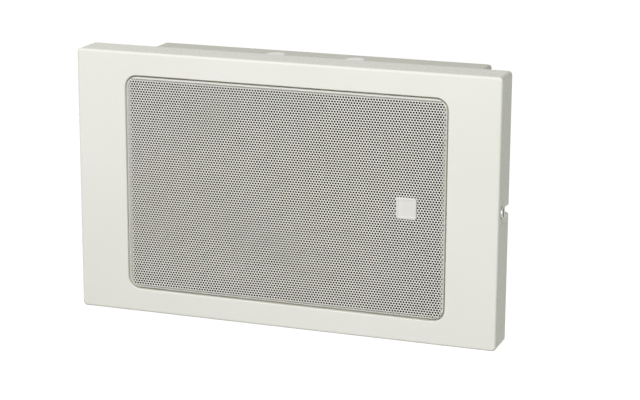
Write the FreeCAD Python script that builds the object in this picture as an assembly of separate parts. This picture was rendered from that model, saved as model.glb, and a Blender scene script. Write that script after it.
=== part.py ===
import FreeCAD
import Part
import math
import os
from FreeCAD import Vector

# Wall-mount box loudspeaker.
# Frame: origin at the centre of the wall-screw pattern on the back face, +Y towards the wall,
# +Z up. The front of the loudspeaker faces -Y. All sizes are in millimetres.

# Overall sizes
overall_depth = 87.0
panel_width = 310.0
panel_height = 190.0
panel_skirt = 25.0

# Front panel moulding
panel_wall = 2.5
panel_corner_r = 2.8
panel_inner_r = 0.8
panel_edge_r = 1.8
opening_side_border = 36.7
opening_top_border = 16.85
opening_corner_r = 9.0
opening_edge_r = 0.8
well_depth = 6.0
well_wall = 2.0
rib_wall = 2.0

# Side scoops and their screws
scoop_depth = 2.4
scoop_rim_r = 8.8
scoop_floor_r = 4.8
scoop_mouth_rim = 6.4
scoop_mouth_floor = 4.0
side_screw_front = 13.0
side_screw_length = 9.0
m4_r = 2.0
m4_head_r = 4.0
m4_head_height = 2.0
m4_nut_flats = 7.0
m4_nut_height = 3.2
m3_r = 1.5
m3_head_r = 2.6
m3_head_height = 1.6
m3_nut_flats = 5.5
m3_nut_height = 2.4
cross_width = 0.9
cross_length = 4.2
cross_depth = 1.2

# Clearances
screw_clearance = 0.2
thread_clearance = 0.1
seat_clearance = 0.3
flange_clearance = 0.5

# Grille, cloth and badge place
grille_gap = 0.9
grille_setback = 1.0
grille_sheet = 0.8
grille_edge_r = 2.4
grille_hole_r = 3.2
grille_hole_sides = 8
grille_hole_pitch = 15.5
grille_hole_margin = 12.0
grille_tab_width = 8.0
grille_tab_reach = 1.5
grille_tab_inset = 0.3
grille_tab_spread = 78.0
cloth_thickness = 0.4
badge_width = 14.3
badge_height = 15.1
badge_thickness = 1.0
badge_from_side = 28.5
badge_corner_r = 0.6

# Back box, folded from sheet
box_side_overhang = 30.0
box_top_overhang = 8.0
box_sheet = 1.0
box_fold_r = 2.5
flange_inset = 3.0
ear_height = 22.0
ear_reach = 15.0
seal_margin = 1.0
seal_width = 3.5
seal_thickness = 1.5
wall_screw_spacing_x = 200.0
wall_screw_spacing_z = 120.0
wall_hole_r = 2.75
stud_reach = 8.0

# Cable entries
plug_spacing = 60.0
plug_from_front = 67.0
plug_hole_r = 6.2
plug_head_r = 8.0
plug_shoulder_r = 6.8
plug_crown_r = 4.0
plug_dome = 1.7
plug_stem = 4.0
dish_from_side = 55.0
dish_from_bottom = 39.0
dish_r = 20.0
dish_depth = 3.0
grommet_hole_r = 11.0
grommet_flange_r = 14.0
grommet_flange = 2.0
grommet_bore_r = 7.0

# Driver
driver_opening_margin = 2.0
driver_screw_count = 4
driver_gasket = 1.5
gasket_glue_gap = 0.8
gasket_edge = 1.0
basket_rim = 12.0
basket_throat_r = 52.0
basket_sheet = 1.2
basket_windows = 4
basket_leg_angle = 26.0
window_margin = 4.0
surround_thickness = 0.6
surround_pleat = 2.2
surround_pleats = 2
surround_glue = 3.5
cone_rim_r = 46.5
cone_rim = 3.0
cone_depth = 20.0
cone_paper = 0.8
cone_neck_r = 13.0
dust_cap_r = 17.0
dust_cap_crown_r = 10.0
dust_cap_rise = 5.0
dust_cap_paper = 0.5
coil_former_r = 12.4
coil_former = 0.3
coil_winding = 0.6
coil_winding_length = 7.0
coil_overhang = 2.0
coil_above_neck = 1.5
spider_outer_r = 33.0
spider_rim_clearance = 1.0
spider_cloth = 0.5
spider_wave = 0.9
spider_waves = 3
spider_gap = 2.0
spider_land = 4.0
ledge_width = 6.5
ledge_to_plate = 8.0
plate_bore_r = 14.1
plate_outer_r = 27.0
plate_thickness = 5.0
magnet_bore_r = 16.0
magnet_outer_r = 30.0
magnet_thickness = 10.0
yoke_outer_r = 27.0
yoke_thickness = 5.0
pole_r = 11.7

# Driver connections
tag_board_length = 20.0
tag_board_width = 15.0
tag_board = 1.5
tag_spacing = 8.0
tag_width = 3.0
tag_length = 10.0
tag_sheet = 0.5
tag_overhang = 4.0
lead_width = 9.6
lead_thickness = 1.6

# Line transformer
core_from_side = 37.0
core_stack = 15.0
core_limb = 14.0
core_window_width = 7.0
core_window_height = 21.0
winding_overhang = 7.0
bracket_sheet = 1.0
bracket_foot = 11.0

# Terminal block
block_from_side = 45.0
block_width = 18.0
block_height = 14.0
block_body = 20.0
block_lug = 9.0
block_lug_height = 4.0
terminal_pitch = 10.0
terminal_pocket_r = 2.9
terminal_pocket = 4.0
wire_mouth_r = 1.6
lead_bend = 10.0
lead_sag = 5.0
lead_height = 8.0

# Planes along Y, from the front face to the wall
panel_front = -overall_depth
panel_back = panel_front + panel_skirt
floor_front = panel_front + well_depth
floor_back = floor_front + panel_wall
grille_front = panel_front + grille_setback
cloth_front = grille_front + grille_sheet
flange_back = panel_back - flange_inset
flange_front = flange_back - box_sheet
seal_front = flange_front - seal_thickness
back_inside = -box_sheet
basket_front = floor_back + driver_gasket
basket_rim_back = basket_front + basket_sheet
neck_front = basket_front + cone_depth
ledge_front = neck_front + cone_paper + spider_gap + spider_cloth + spider_wave
plate_front = ledge_front + ledge_to_plate
magnet_front = plate_front + plate_thickness
yoke_front = magnet_front + magnet_thickness
yoke_back = yoke_front + yoke_thickness

# Places worked out from the sizes above
opening_width = panel_width - 2 * opening_side_border
opening_height = panel_height - 2 * opening_top_border
box_width = panel_width - 2 * box_side_overhang
box_height = panel_height - 2 * box_top_overhang
badge_x = opening_width / 2 - badge_from_side
dish_x = box_width / 2 - dish_from_side
dish_z = dish_from_bottom - box_height / 2
core_x = core_from_side - box_width / 2
block_x = box_width / 2 - block_from_side
basket_outer_r = basket_throat_r + basket_rim
driver_opening_r = basket_throat_r + driver_opening_margin
gasket_inner_r = basket_throat_r + surround_glue + gasket_glue_gap
gasket_outer_r = basket_outer_r - gasket_edge
driver_screw_circle_r = (gasket_inner_r + gasket_outer_r) / 2
side_screw_y = panel_front + side_screw_front
scoop_floor_x = panel_width / 2 - scoop_depth
pad_inner_x = scoop_floor_x - panel_wall
ear_outer_x = pad_inner_x - seat_clearance
flange_half_height = panel_height / 2 - panel_wall - flange_clearance
grille_width = opening_width - 2 * grille_gap
grille_height = opening_height - 2 * grille_gap
seal_half_x = box_width / 2 + seal_margin + seal_width / 2
seal_half_z = box_height / 2 + seal_margin + seal_width / 2
core_width = 2 * core_limb + 2 * core_window_width
core_height = core_window_height + core_limb
core_front = back_inside - core_height
winding_face_x = core_x + core_stack / 2 + winding_overhang
foot_stud_z = core_width / 2 + bracket_sheet + bracket_foot / 2
lug_stud_z = block_body / 2 + block_lug / 2
plug_y = panel_front + plug_from_front
ledge_r = spider_outer_r + spider_rim_clearance
ledge_inner_r = ledge_r - ledge_width
tag_y = ledge_front + basket_sheet + tag_board


def block(x, y, z):
    """Box between two limits on each axis, each given as a (low, high) pair."""
    corner = Vector(x[0], y[0], z[0])
    return Part.makeBox(x[1] - x[0], y[1] - y[0], z[1] - z[0], corner)


def pair(centre, width):
    """Low and high limit of a width about a centre."""
    return (centre - width / 2, centre + width / 2)


def rod(radius, start, end):
    """Cylinder from one point to another."""
    line = end - start
    return Part.makeCylinder(radius, line.Length, start, line)


def rod_y(radius, front, back, x=0.0, z=0.0):
    """Cylinder along Y between two planes."""
    return rod(radius, Vector(x, front, z), Vector(x, back, z))


def slab(width, height, corner_r, front, back):
    """Plate facing -Y, centred on the Y axis, with its four corners rounded."""
    plate = block(pair(0.0, width), (front, back), pair(0.0, height))
    corners = [edge for edge in plate.Edges if edge.BoundBox.YLength > (back - front) / 2]
    return plate.makeFillet(corner_r, corners)


def round_face_edges(shape, plane_y, radius):
    """Round all the edges that lie in one plane across Y."""
    tolerance = 1e-4
    edges = [
        edge
        for edge in shape.Edges
        if abs(edge.BoundBox.YMin - plane_y) < tolerance and abs(edge.BoundBox.YMax - plane_y) < tolerance
    ]
    return shape.makeFillet(radius, edges)


def turned(points):
    """Body of revolution about the Y axis, from a closed outline of (radius, y) points."""
    corners = [Vector(radius, y, 0) for radius, y in points]
    face = Part.Face(Part.makePolygon(corners + corners[:1]))
    return face.revolve(Vector(0, 0, 0), Vector(0, 1, 0), 360)


def pleated(inner_r, outer_r, plane, rise, count, thickness):
    """Outline of a sheet with pleats that rise to the front, as its back points and its front points."""
    steps = 2 * count
    back = []
    for step in range(steps + 1):
        radius = inner_r + (outer_r - inner_r) * step / steps
        back.append((radius, plane - rise * (step % 2)))
    front = [(radius, y - thickness) for radius, y in back]
    return back, front


def ring(inner_r, outer_r, front, back):
    """Flat ring about the Y axis."""
    return rod_y(outer_r, front, back).cut(rod_y(inner_r, front, back))


def prism_y(corner_r, sides, front, back, x, z):
    """Regular prism along Y between two planes."""
    angles = [2 * math.pi * i / sides for i in range(sides + 1)]
    corners = [Vector(x + corner_r * math.cos(a), front, z + corner_r * math.sin(a)) for a in angles]
    return Part.Face(Part.makePolygon(corners)).extrude(Vector(0, back - front, 0))


def hex_nut(flats, height, bore_r, seat, x, z):
    """Hexagon nut whose face rests at seat and which stands along one Y direction."""
    body = prism_y(flats / math.sqrt(3), 6, seat, seat + height, x, z)
    return body.cut(rod_y(bore_r, seat, seat + height, x, z))


def circle_places(radius, count):
    """Points (x, z) spread evenly on a circle, the first at 45 degrees."""
    angles = [math.radians(45 + 360 * i / count) for i in range(count)]
    return [(radius * math.cos(a), radius * math.sin(a)) for a in angles]


def flat_lead(points):
    """Flat twin lead along straight runs joined by tangent arcs as large as the runs allow."""
    edges = []
    start = points[0]
    for before, corner, after in zip(points, points[1:], points[2:]):
        arrive = (corner - before).normalize()
        leave = (after - corner).normalize()
        tangent_length = 0.45 * min((corner - before).Length, (after - corner).Length)
        arc_start = corner - arrive * tangent_length
        arc_end = corner + leave * tangent_length
        half_turn = arrive.getAngle(leave) / 2
        bend_r = tangent_length / math.tan(half_turn)
        inward = (leave - arrive).normalize()
        middle = corner + inward * (bend_r / math.cos(half_turn) - bend_r)
        edges.append(Part.LineSegment(start, arc_start).toShape())
        edges.append(Part.Arc(arc_start, middle, arc_end).toShape())
        start = arc_end
    edges.append(Part.LineSegment(start, points[-1]).toShape())
    half_y = Vector(0, lead_thickness / 2, 0)
    half_z = Vector(0, 0, lead_width / 2)
    corners = [half_y + half_z, half_y - half_z, -half_y - half_z, half_z - half_y]
    section = Part.makePolygon([points[0] + corner for corner in corners + corners[:1]])
    return Part.Wire(edges).makePipeShell([section], True, False)


def tab_places():
    """Places (x, z, across) of the grille's tabs: along the top and bottom edges and at both ends."""
    tab_x = grille_width / 2 - grille_sheet / 2
    tab_z = grille_height / 2 - grille_sheet / 2
    long_sides = [(x, side * tab_z, True) for side in (-1, 1) for x in (-grille_tab_spread, 0.0, grille_tab_spread)]
    ends = [(side * tab_x, 0.0, False) for side in (-1, 1)]
    return long_sides + ends


def tab_block(place, extra, front, back):
    """One tab of the grille's rim, or its slot when extra is the clearance."""
    x, z, across = place
    width = grille_tab_width + 2 * extra
    depth = grille_sheet + 2 * extra
    if across:
        return block(pair(x, width), (front, back), pair(z, depth))
    return block(pair(x, depth), (front, back), pair(z, width))


def scoop(side):
    """Dished recess in a side wall of the panel, round the screw, with a tapered mouth to the rear."""
    height = scoop_depth + panel_wall
    flare = height / scoop_depth
    floor = Vector(side * scoop_floor_x, side_screw_y, 0)
    outward = Vector(side, 0, 0)
    top_r = scoop_floor_r + (scoop_rim_r - scoop_floor_r) * flare
    dish = Part.makeCone(scoop_floor_r, top_r, height, floor, outward)
    low = Vector(0, 0, scoop_mouth_floor / 2)
    high = low + Vector(0, 0, (scoop_mouth_rim - scoop_mouth_floor) / 2 * flare)
    top = floor + outward * height
    corners = [floor - low, top - high, top + high, floor + low]
    section = Part.Face(Part.makePolygon(corners + corners[:1]))
    mouth = section.extrude(Vector(0, panel_back - side_screw_y, 0))
    return dish.fuse(mouth)


def scoop_pad(side):
    """Thickening inside a side wall that backs the scoop."""
    x_limits = sorted((side * pad_inner_x, side * (panel_width / 2 - panel_wall / 2)))
    pad_reach = scoop_rim_r + panel_wall
    return block(x_limits, (side_screw_y - pad_reach, panel_back), pair(0.0, 2 * pad_reach))


def front_panel():
    """One-piece moulding: skirt, grille well, well floor, seal rib and side scoops."""
    outer = slab(panel_width, panel_height, panel_corner_r, panel_front, panel_back)
    outer = round_face_edges(outer, panel_front, panel_edge_r)
    hollow = slab(
        panel_width - 2 * panel_wall,
        panel_height - 2 * panel_wall,
        panel_inner_r,
        panel_front + panel_wall,
        panel_back,
    )
    well_outer = slab(
        opening_width + 2 * well_wall,
        opening_height + 2 * well_wall,
        opening_corner_r + well_wall,
        panel_front + panel_wall / 2,
        floor_back,
    )
    rib_outer = slab(
        2 * seal_half_x + rib_wall,
        2 * seal_half_z + rib_wall,
        box_fold_r + rib_wall,
        panel_front + panel_wall / 2,
        seal_front,
    )
    rib_inner = slab(
        2 * seal_half_x - rib_wall,
        2 * seal_half_z - rib_wall,
        box_fold_r,
        panel_front + panel_wall / 2,
        seal_front,
    )
    rib = rib_outer.cut(rib_inner)
    pads = [scoop_pad(side) for side in (-1, 1)]
    panel = outer.cut(hollow).fuse([well_outer, rib] + pads)

    well = slab(opening_width, opening_height, opening_corner_r, panel_front - panel_wall, floor_front)
    cuts = [well, rod_y(driver_opening_r, floor_front, floor_back)]
    for x, z in circle_places(driver_screw_circle_r, driver_screw_count):
        cuts.append(rod_y(m4_r + screw_clearance, floor_front, floor_back, x, z))
    for place in tab_places():
        cuts.append(tab_block(place, grille_tab_inset, floor_front, floor_back))
    for side in (-1, 1):
        hole_start = Vector(side * pad_inner_x, side_screw_y, 0)
        hole_end = Vector(side * panel_width / 2, side_screw_y, 0)
        cuts.append(scoop(side))
        cuts.append(rod(m4_r + screw_clearance, hole_start, hole_end))
    panel = panel.cut(cuts).removeSplitter()
    return round_opening_edge(panel)


def round_opening_edge(panel):
    """Soften the panel's front edge round the grille opening."""
    tolerance = 1e-4
    edges = [
        edge
        for edge in panel.Edges
        if edge.BoundBox.YLength < tolerance
        and abs(edge.BoundBox.YMin - panel_front) < tolerance
        and abs(edge.CenterOfMass.x) < opening_width / 2 + tolerance
        and abs(edge.CenterOfMass.z) < opening_height / 2 + tolerance
    ]
    return panel.makeFillet(opening_edge_r, edges)


def grille_hole_places():
    """Centres (x, z) of the grille's holes on a staggered lattice, clear of the rim and the badge place."""
    row_pitch = grille_hole_pitch * math.sqrt(3) / 2
    half_x = grille_width / 2 - grille_hole_margin
    half_z = grille_height / 2 - grille_hole_margin
    rows = int(half_z // row_pitch)
    columns = int(half_x // grille_hole_pitch) + 1
    places = []
    for row in range(-rows, rows + 1):
        shift = grille_hole_pitch / 2 * (row % 2)
        for column in range(-columns, columns + 1):
            x = column * grille_hole_pitch + shift
            z = row * row_pitch
            near_badge_x = abs(x - badge_x) < badge_width / 2 + 2 * grille_hole_r
            near_badge_z = abs(z) < badge_height / 2 + 2 * grille_hole_r
            if abs(x) <= half_x and not (near_badge_x and near_badge_z):
                places.append((x, z))
    return places


def grille():
    """Perforated sheet pan with rolled edges and tabs that pass through the well floor."""
    corner_r = opening_corner_r - grille_gap
    outer = slab(grille_width, grille_height, corner_r, grille_front, floor_front)
    outer = round_face_edges(outer, grille_front, grille_edge_r)
    inner = slab(
        grille_width - 2 * grille_sheet,
        grille_height - 2 * grille_sheet,
        corner_r - grille_sheet,
        cloth_front,
        floor_front,
    )
    inner = round_face_edges(inner, cloth_front, grille_edge_r - grille_sheet)
    holes = [
        prism_y(grille_hole_r, grille_hole_sides, grille_front, cloth_front, x, z) for x, z in grille_hole_places()
    ]
    tabs = [tab_block(place, 0.0, floor_front, floor_back + grille_tab_reach) for place in tab_places()]
    return outer.cut(inner).cut(holes).fuse(tabs).removeSplitter()


def dust_cloth():
    """Black cloth stretched against the back of the grille."""
    inset = 2 * (grille_edge_r + seat_clearance)
    corner_r = opening_corner_r - grille_gap - grille_edge_r
    return slab(
        grille_width - inset, grille_height - inset, corner_r, cloth_front, cloth_front + cloth_thickness
    )


def badge():
    """Blank plate glued on the grille."""
    plate = slab(badge_width, badge_height, badge_corner_r, grille_front - badge_thickness, grille_front)
    return plate.translated(Vector(badge_x, 0, 0))


def wall_hole_places():
    """Centres (x, z) of the four wall-screw holes."""
    half_x = wall_screw_spacing_x / 2
    half_z = wall_screw_spacing_z / 2
    return [(x, z) for x in (-half_x, half_x) for z in (-half_z, half_z)]


def stud_places():
    """Feet (x, z) of the welded studs that hold the transformer and the terminal block."""
    transformer = [(core_x, side * foot_stud_z) for side in (-1, 1)]
    terminal = [(block_x, side * lug_stud_z) for side in (-1, 1)]
    return transformer + terminal


def box_ear(side):
    """Tapped ear bent forward from the flange's end, behind the panel's side scoop."""
    x_limits = sorted((side * ear_outer_x, side * (ear_outer_x - box_sheet)))
    ear = block(x_limits, (flange_back - ear_reach, flange_back), pair(0.0, ear_height))
    tips = [edge for edge in ear.Edges if edge.BoundBox.XLength > box_sheet / 2 and edge.BoundBox.YMax < flange_front]
    ear = ear.makeFillet(box_fold_r, tips)
    inner = Vector(side * (ear_outer_x - box_sheet), side_screw_y, 0)
    outer = Vector(side * ear_outer_x, side_screw_y, 0)
    return ear.cut(rod(m4_r + thread_clearance, inner, outer))


def back_box():
    """Folded sheet-steel box with outward flange, ears, cable dish, plug holes and welded studs."""
    outer = slab(box_width, box_height, box_fold_r, flange_front, 0.0)
    outer = round_face_edges(outer, 0.0, box_fold_r)
    inner_fold = box_fold_r - box_sheet
    inner = slab(
        box_width - 2 * box_sheet, box_height - 2 * box_sheet, inner_fold, flange_front, back_inside
    )
    inner = round_face_edges(inner, back_inside, inner_fold)
    flange = slab(2 * ear_outer_x, 2 * flange_half_height, box_fold_r, flange_front, flange_back)
    ears = [box_ear(side) for side in (-1, 1)]
    dish_front = -dish_depth - box_sheet
    dish = rod_y(dish_r + box_sheet, dish_front, back_inside, dish_x, dish_z)
    studs = [rod_y(m3_r, back_inside - stud_reach, back_inside, x, z) for x, z in stud_places()]
    box = outer.fuse(flange).cut(inner).fuse(ears + [dish] + studs)

    cuts = [rod_y(dish_r, -dish_depth, 0.0, dish_x, dish_z)]
    cuts.append(rod_y(grommet_hole_r, dish_front, -dish_depth, dish_x, dish_z))
    for x, z in wall_hole_places():
        cuts.append(rod_y(wall_hole_r, back_inside, 0.0, x, z))
    for side in (-1, 1):
        low = Vector(side * plug_spacing / 2, plug_y, box_height / 2 - box_sheet)
        high = Vector(side * plug_spacing / 2, plug_y, box_height / 2)
        cuts.append(rod(plug_hole_r, low, high))
    return box.cut(cuts).removeSplitter()


def box_gasket():
    """Foam strip between the panel's seal rib and the box's flange."""
    outer = slab(
        2 * seal_half_x + seal_width, 2 * seal_half_z + seal_width, box_fold_r + seal_width, seal_front, flange_front
    )
    inner = slab(2 * seal_half_x - seal_width, 2 * seal_half_z - seal_width, box_fold_r, seal_front, flange_front)
    return outer.cut(inner)


def cable_entry_plugs():
    """Two domed plugs in the holes of the box's top wall."""
    plugs = []
    for side in (-1, 1):
        foot = Vector(side * plug_spacing / 2, plug_y, box_height / 2)
        shoulder = foot + Vector(0, 0, plug_dome / 2)
        rim = Part.makeCone(plug_head_r, plug_shoulder_r, plug_dome / 2, foot)
        crown = Part.makeCone(plug_shoulder_r, plug_crown_r, plug_dome / 2, shoulder)
        stem = rod(plug_hole_r - screw_clearance, foot - Vector(0, 0, plug_stem), foot)
        plugs.append(rim.fuse([crown, stem]).removeSplitter())
    return Part.makeCompound(plugs)


def cable_grommet():
    """Rubber grommet clipped round the cable hole in the dish."""
    plate_front_y = -dish_depth - box_sheet
    front = plate_front_y - grommet_flange
    back = -dish_depth + grommet_flange
    groove_r = grommet_hole_r - thread_clearance
    body = turned(
        [
            (grommet_bore_r, front),
            (grommet_flange_r, front),
            (grommet_flange_r, plate_front_y),
            (groove_r, plate_front_y),
            (groove_r, -dish_depth),
            (grommet_flange_r, -dish_depth),
            (grommet_flange_r, back),
            (grommet_bore_r, back),
        ]
    )
    return body.translated(Vector(dish_x, 0, dish_z))


def cross_recess(top, direction):
    """Cross-shaped driver recess sunk into a screw head that faces along X."""
    depth = sorted((top - direction * cross_depth, top))
    upright = block(depth, pair(side_screw_y, cross_width), pair(0.0, cross_length))
    level = block(depth, pair(side_screw_y, cross_length), pair(0.0, cross_width))
    return upright.fuse(level)


def side_screws():
    """Screws in the side scoops that pull the panel onto the box's ears."""
    screws = []
    for side in (-1, 1):
        seat = Vector(side * scoop_floor_x, side_screw_y, 0)
        outward = Vector(side, 0, 0)
        top = seat + outward * m4_head_height
        head = rod(m4_head_r, seat, top)
        rim = [edge for edge in head.Edges if abs(edge.CenterOfMass.x - top.x) < thread_clearance]
        head = head.makeChamfer(m4_head_height / 3, rim)
        shank = rod(m4_r, seat - outward * side_screw_length, seat)
        screws.append(head.fuse(shank).cut(cross_recess(top.x, side)).removeSplitter())
    return Part.makeCompound(screws)


def driver_gasket_ring():
    """Gasket between the well floor and the basket's rim."""
    body = ring(gasket_inner_r, gasket_outer_r, floor_back, basket_front)
    holes = [
        rod_y(m4_r + screw_clearance, floor_back, basket_front, x, z)
        for x, z in circle_places(driver_screw_circle_r, driver_screw_count)
    ]
    return body.cut(holes)


def basket_window(index):
    """Wedge that opens one window in the basket's slanted wall."""
    angle = 360 / basket_windows
    front = basket_rim_back + window_margin
    back = ledge_front - window_margin
    wedge = ring(ledge_inner_r, basket_outer_r, front, back)
    opening = angle - basket_leg_angle
    start = 45 + angle * index + basket_leg_angle / 2
    sector = Part.makeCylinder(
        basket_outer_r, back - front, Vector(0, front, 0), Vector(0, 1, 0), opening
    )
    sector.rotate(Vector(0, 0, 0), Vector(0, 1, 0), start)
    return wedge.common(sector)


def driver_basket():
    """Pressed steel basket: rim, slanted wall with windows, spider ledge and rear plate."""
    slant_x = basket_throat_r - ledge_r
    slant_y = ledge_front - basket_front
    shift = basket_sheet * math.hypot(slant_x, slant_y) / slant_y - basket_sheet * slant_x / slant_y
    plate_back = plate_front
    plate_face = plate_front - basket_sheet
    body = turned(
        [
            (basket_outer_r, basket_front),
            (basket_throat_r, basket_front),
            (ledge_r, ledge_front),
            (ledge_inner_r, ledge_front),
            (ledge_inner_r, plate_face),
            (plate_bore_r + basket_sheet, plate_face),
            (plate_bore_r + basket_sheet, plate_back),
            (ledge_inner_r + basket_sheet, plate_back),
            (ledge_inner_r + basket_sheet, ledge_front + basket_sheet),
            (ledge_r + shift, ledge_front + basket_sheet),
            (basket_throat_r + shift, basket_rim_back),
            (basket_outer_r, basket_rim_back),
        ]
    )
    holes = [
        rod_y(m4_r + screw_clearance, basket_front, basket_rim_back, x, z)
        for x, z in circle_places(driver_screw_circle_r, driver_screw_count)
    ]
    windows = [basket_window(index) for index in range(basket_windows)]
    return body.cut(holes + windows)


def cone_face_y(radius):
    """Y of the cone's front face at a radius."""
    inner_rim = cone_rim_r - cone_rim
    share = (inner_rim - radius) / (inner_rim - cone_neck_r)
    return basket_front + share * cone_depth


def cone():
    """Paper cone with a flat rim that the surround is glued to."""
    inner_rim = cone_rim_r - cone_rim
    rim_back = basket_front + cone_paper
    return turned(
        [
            (cone_rim_r, basket_front),
            (inner_rim, basket_front),
            (cone_neck_r, neck_front),
            (cone_neck_r, neck_front + cone_paper),
            (inner_rim, rim_back),
            (cone_rim_r, rim_back),
        ]
    )


def cone_surround():
    """Pleated surround from the cone's rim to the basket's rim."""
    inner_edge = cone_rim_r - cone_rim
    outer_edge = basket_throat_r + surround_glue
    back, front = pleated(
        cone_rim_r, basket_throat_r, basket_front, surround_pleat, surround_pleats, surround_thickness
    )
    face = basket_front - surround_thickness
    back = [(inner_edge, basket_front)] + back + [(outer_edge, basket_front)]
    front = [(inner_edge, face)] + front + [(outer_edge, face)]
    return turned(back + front[::-1])


def dust_cap():
    """Pressed cap with a flat crown, glued to the cone over the coil."""
    inner_r = dust_cap_r - dust_cap_paper
    crown = cone_face_y(dust_cap_r) - dust_cap_rise
    return turned(
        [
            (0.0, crown),
            (dust_cap_crown_r, crown),
            (dust_cap_r, cone_face_y(dust_cap_r)),
            (inner_r, cone_face_y(inner_r)),
            (dust_cap_crown_r - dust_cap_paper, crown + dust_cap_paper),
            (0.0, crown + dust_cap_paper),
        ]
    )


def voice_coil():
    """Coil former with its winding, centred in the magnet gap."""
    front = neck_front - coil_above_neck
    gap_centre = plate_front + plate_thickness / 2
    winding_front = gap_centre - coil_winding_length / 2
    winding_back = gap_centre + coil_winding_length / 2
    former_outer = coil_former_r + coil_former
    return turned(
        [
            (coil_former_r, front),
            (former_outer, front),
            (former_outer, winding_front),
            (former_outer + coil_winding, winding_front),
            (former_outer + coil_winding, winding_back),
            (former_outer, winding_back),
            (former_outer, winding_back + coil_overhang),
            (coil_former_r, winding_back + coil_overhang),
        ]
    )


def spider():
    """Pleated centring disc between the coil former and the basket's ledge."""
    inner_r = coil_former_r + coil_former + seat_clearance
    wave_outer = spider_outer_r - spider_land
    back, front = pleated(inner_r, wave_outer, ledge_front, spider_wave, spider_waves, spider_cloth)
    back.append((spider_outer_r, ledge_front))
    front.append((spider_outer_r, ledge_front - spider_cloth))
    return turned(back + front[::-1])


def top_plate():
    """Front pole plate of the magnet."""
    return ring(plate_bore_r, plate_outer_r, plate_front, magnet_front)


def magnet():
    """Ferrite ring magnet."""
    return ring(magnet_bore_r, magnet_outer_r, magnet_front, yoke_front)


def yoke():
    """Rear plate with the centre pole, turned as one piece."""
    pole = rod_y(pole_r, plate_front, yoke_front)
    return rod_y(yoke_outer_r, yoke_front, yoke_back).fuse(pole).removeSplitter()


def driver_screws():
    """Screws that hold the driver, put in from the front of the well floor."""
    screws = []
    tip = basket_rim_back + m4_nut_height + panel_wall / 2
    for x, z in circle_places(driver_screw_circle_r, driver_screw_count):
        head = rod_y(m4_head_r, floor_front - m4_head_height, floor_front, x, z)
        screws.append(head.fuse(rod_y(m4_r, floor_front, tip, x, z)).removeSplitter())
    return Part.makeCompound(screws)


def driver_nuts():
    """Nuts on the driver screws, against the basket's rim."""
    bore_r = m4_r + thread_clearance
    places = circle_places(driver_screw_circle_r, driver_screw_count)
    return Part.makeCompound(
        [hex_nut(m4_nut_flats, m4_nut_height, bore_r, basket_rim_back, x, z) for x, z in places]
    )


def tag_strip():
    """Insulating board for the solder tags, on the back of the basket's ledge."""
    inner_x = -(ledge_inner_r + basket_sheet + seat_clearance)
    return block((inner_x - tag_board_width, inner_x), (tag_y - tag_board, tag_y), pair(0.0, tag_board_length))


def tag_outer_x():
    """X of the solder tags' free ends."""
    return -(ledge_inner_r + basket_sheet + seat_clearance) - tag_board_width - tag_overhang


def solder_tags():
    """Pair of brass tags on the board."""
    x_limits = (tag_outer_x(), tag_outer_x() + tag_length)
    tags = []
    for side in (-1, 1):
        z_limits = pair(side * tag_spacing / 2, tag_width)
        tags.append(block(x_limits, (tag_y, tag_y + tag_sheet), z_limits))
    return Part.makeCompound(tags)


def transformer_core():
    """Laminated core with a window on each side of its centre limb."""
    x_limits = pair(core_x, core_stack)
    body = block(x_limits, (core_front, back_inside), pair(0.0, core_width))
    window_y = pair((core_front + back_inside) / 2, core_window_height)
    offset = (core_limb + core_window_width) / 2
    windows = [block(x_limits, window_y, pair(side * offset, core_window_width)) for side in (-1, 1)]
    return body.cut(windows)


def transformer_winding():
    """Coil on its former round the core's centre limb."""
    centre_y = (core_front + back_inside) / 2
    length = core_window_height - 2 * seat_clearance
    width = core_limb + 2 * core_window_width - 2 * seat_clearance
    body = block(
        pair(core_x, core_stack + 2 * winding_overhang), pair(centre_y, length), pair(0.0, width)
    )
    corners = [edge for edge in body.Edges if edge.BoundBox.YLength > length / 2]
    body = body.makeFillet(winding_overhang / 2, corners)
    limb = block(
        pair(core_x, core_stack + 2 * seat_clearance), pair(centre_y, length), pair(0.0, core_limb + 2 * seat_clearance)
    )
    return body.cut(limb)


def transformer_bracket():
    """Strap folded over the core, with a foot on each side."""
    x_limits = pair(core_x, core_stack)
    half = core_width / 2
    outer_half = half + bracket_sheet
    strap = block(x_limits, (core_front - bracket_sheet, back_inside), pair(0.0, 2 * outer_half))
    strap = strap.cut(block(x_limits, (core_front, back_inside), pair(0.0, core_width)))
    foot_y = (back_inside - bracket_sheet, back_inside)
    for side in (-1, 1):
        z_limits = sorted((side * outer_half, side * (outer_half + bracket_foot)))
        foot = block(x_limits, foot_y, z_limits)
        strap = strap.fuse(foot.cut(rod_y(m3_r + screw_clearance, *foot_y, core_x, side * foot_stud_z)))
    return strap.removeSplitter()


def nuts_on_studs(x, z, seat):
    """Pair of nuts on two welded studs, against a seat that faces the front."""
    bore_r = m3_r + thread_clearance
    front = seat - m3_nut_height
    return Part.makeCompound(
        [hex_nut(m3_nut_flats, m3_nut_height, bore_r, front, x, side * z) for side in (-1, 1)]
    )


def transformer_nuts():
    """Nuts on the bracket's feet."""
    return nuts_on_studs(core_x, foot_stud_z, back_inside - bracket_sheet)


def terminal_places():
    """Z of the terminals in the block."""
    return [side * terminal_pitch / 2 for side in (-1, 1)]


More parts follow.
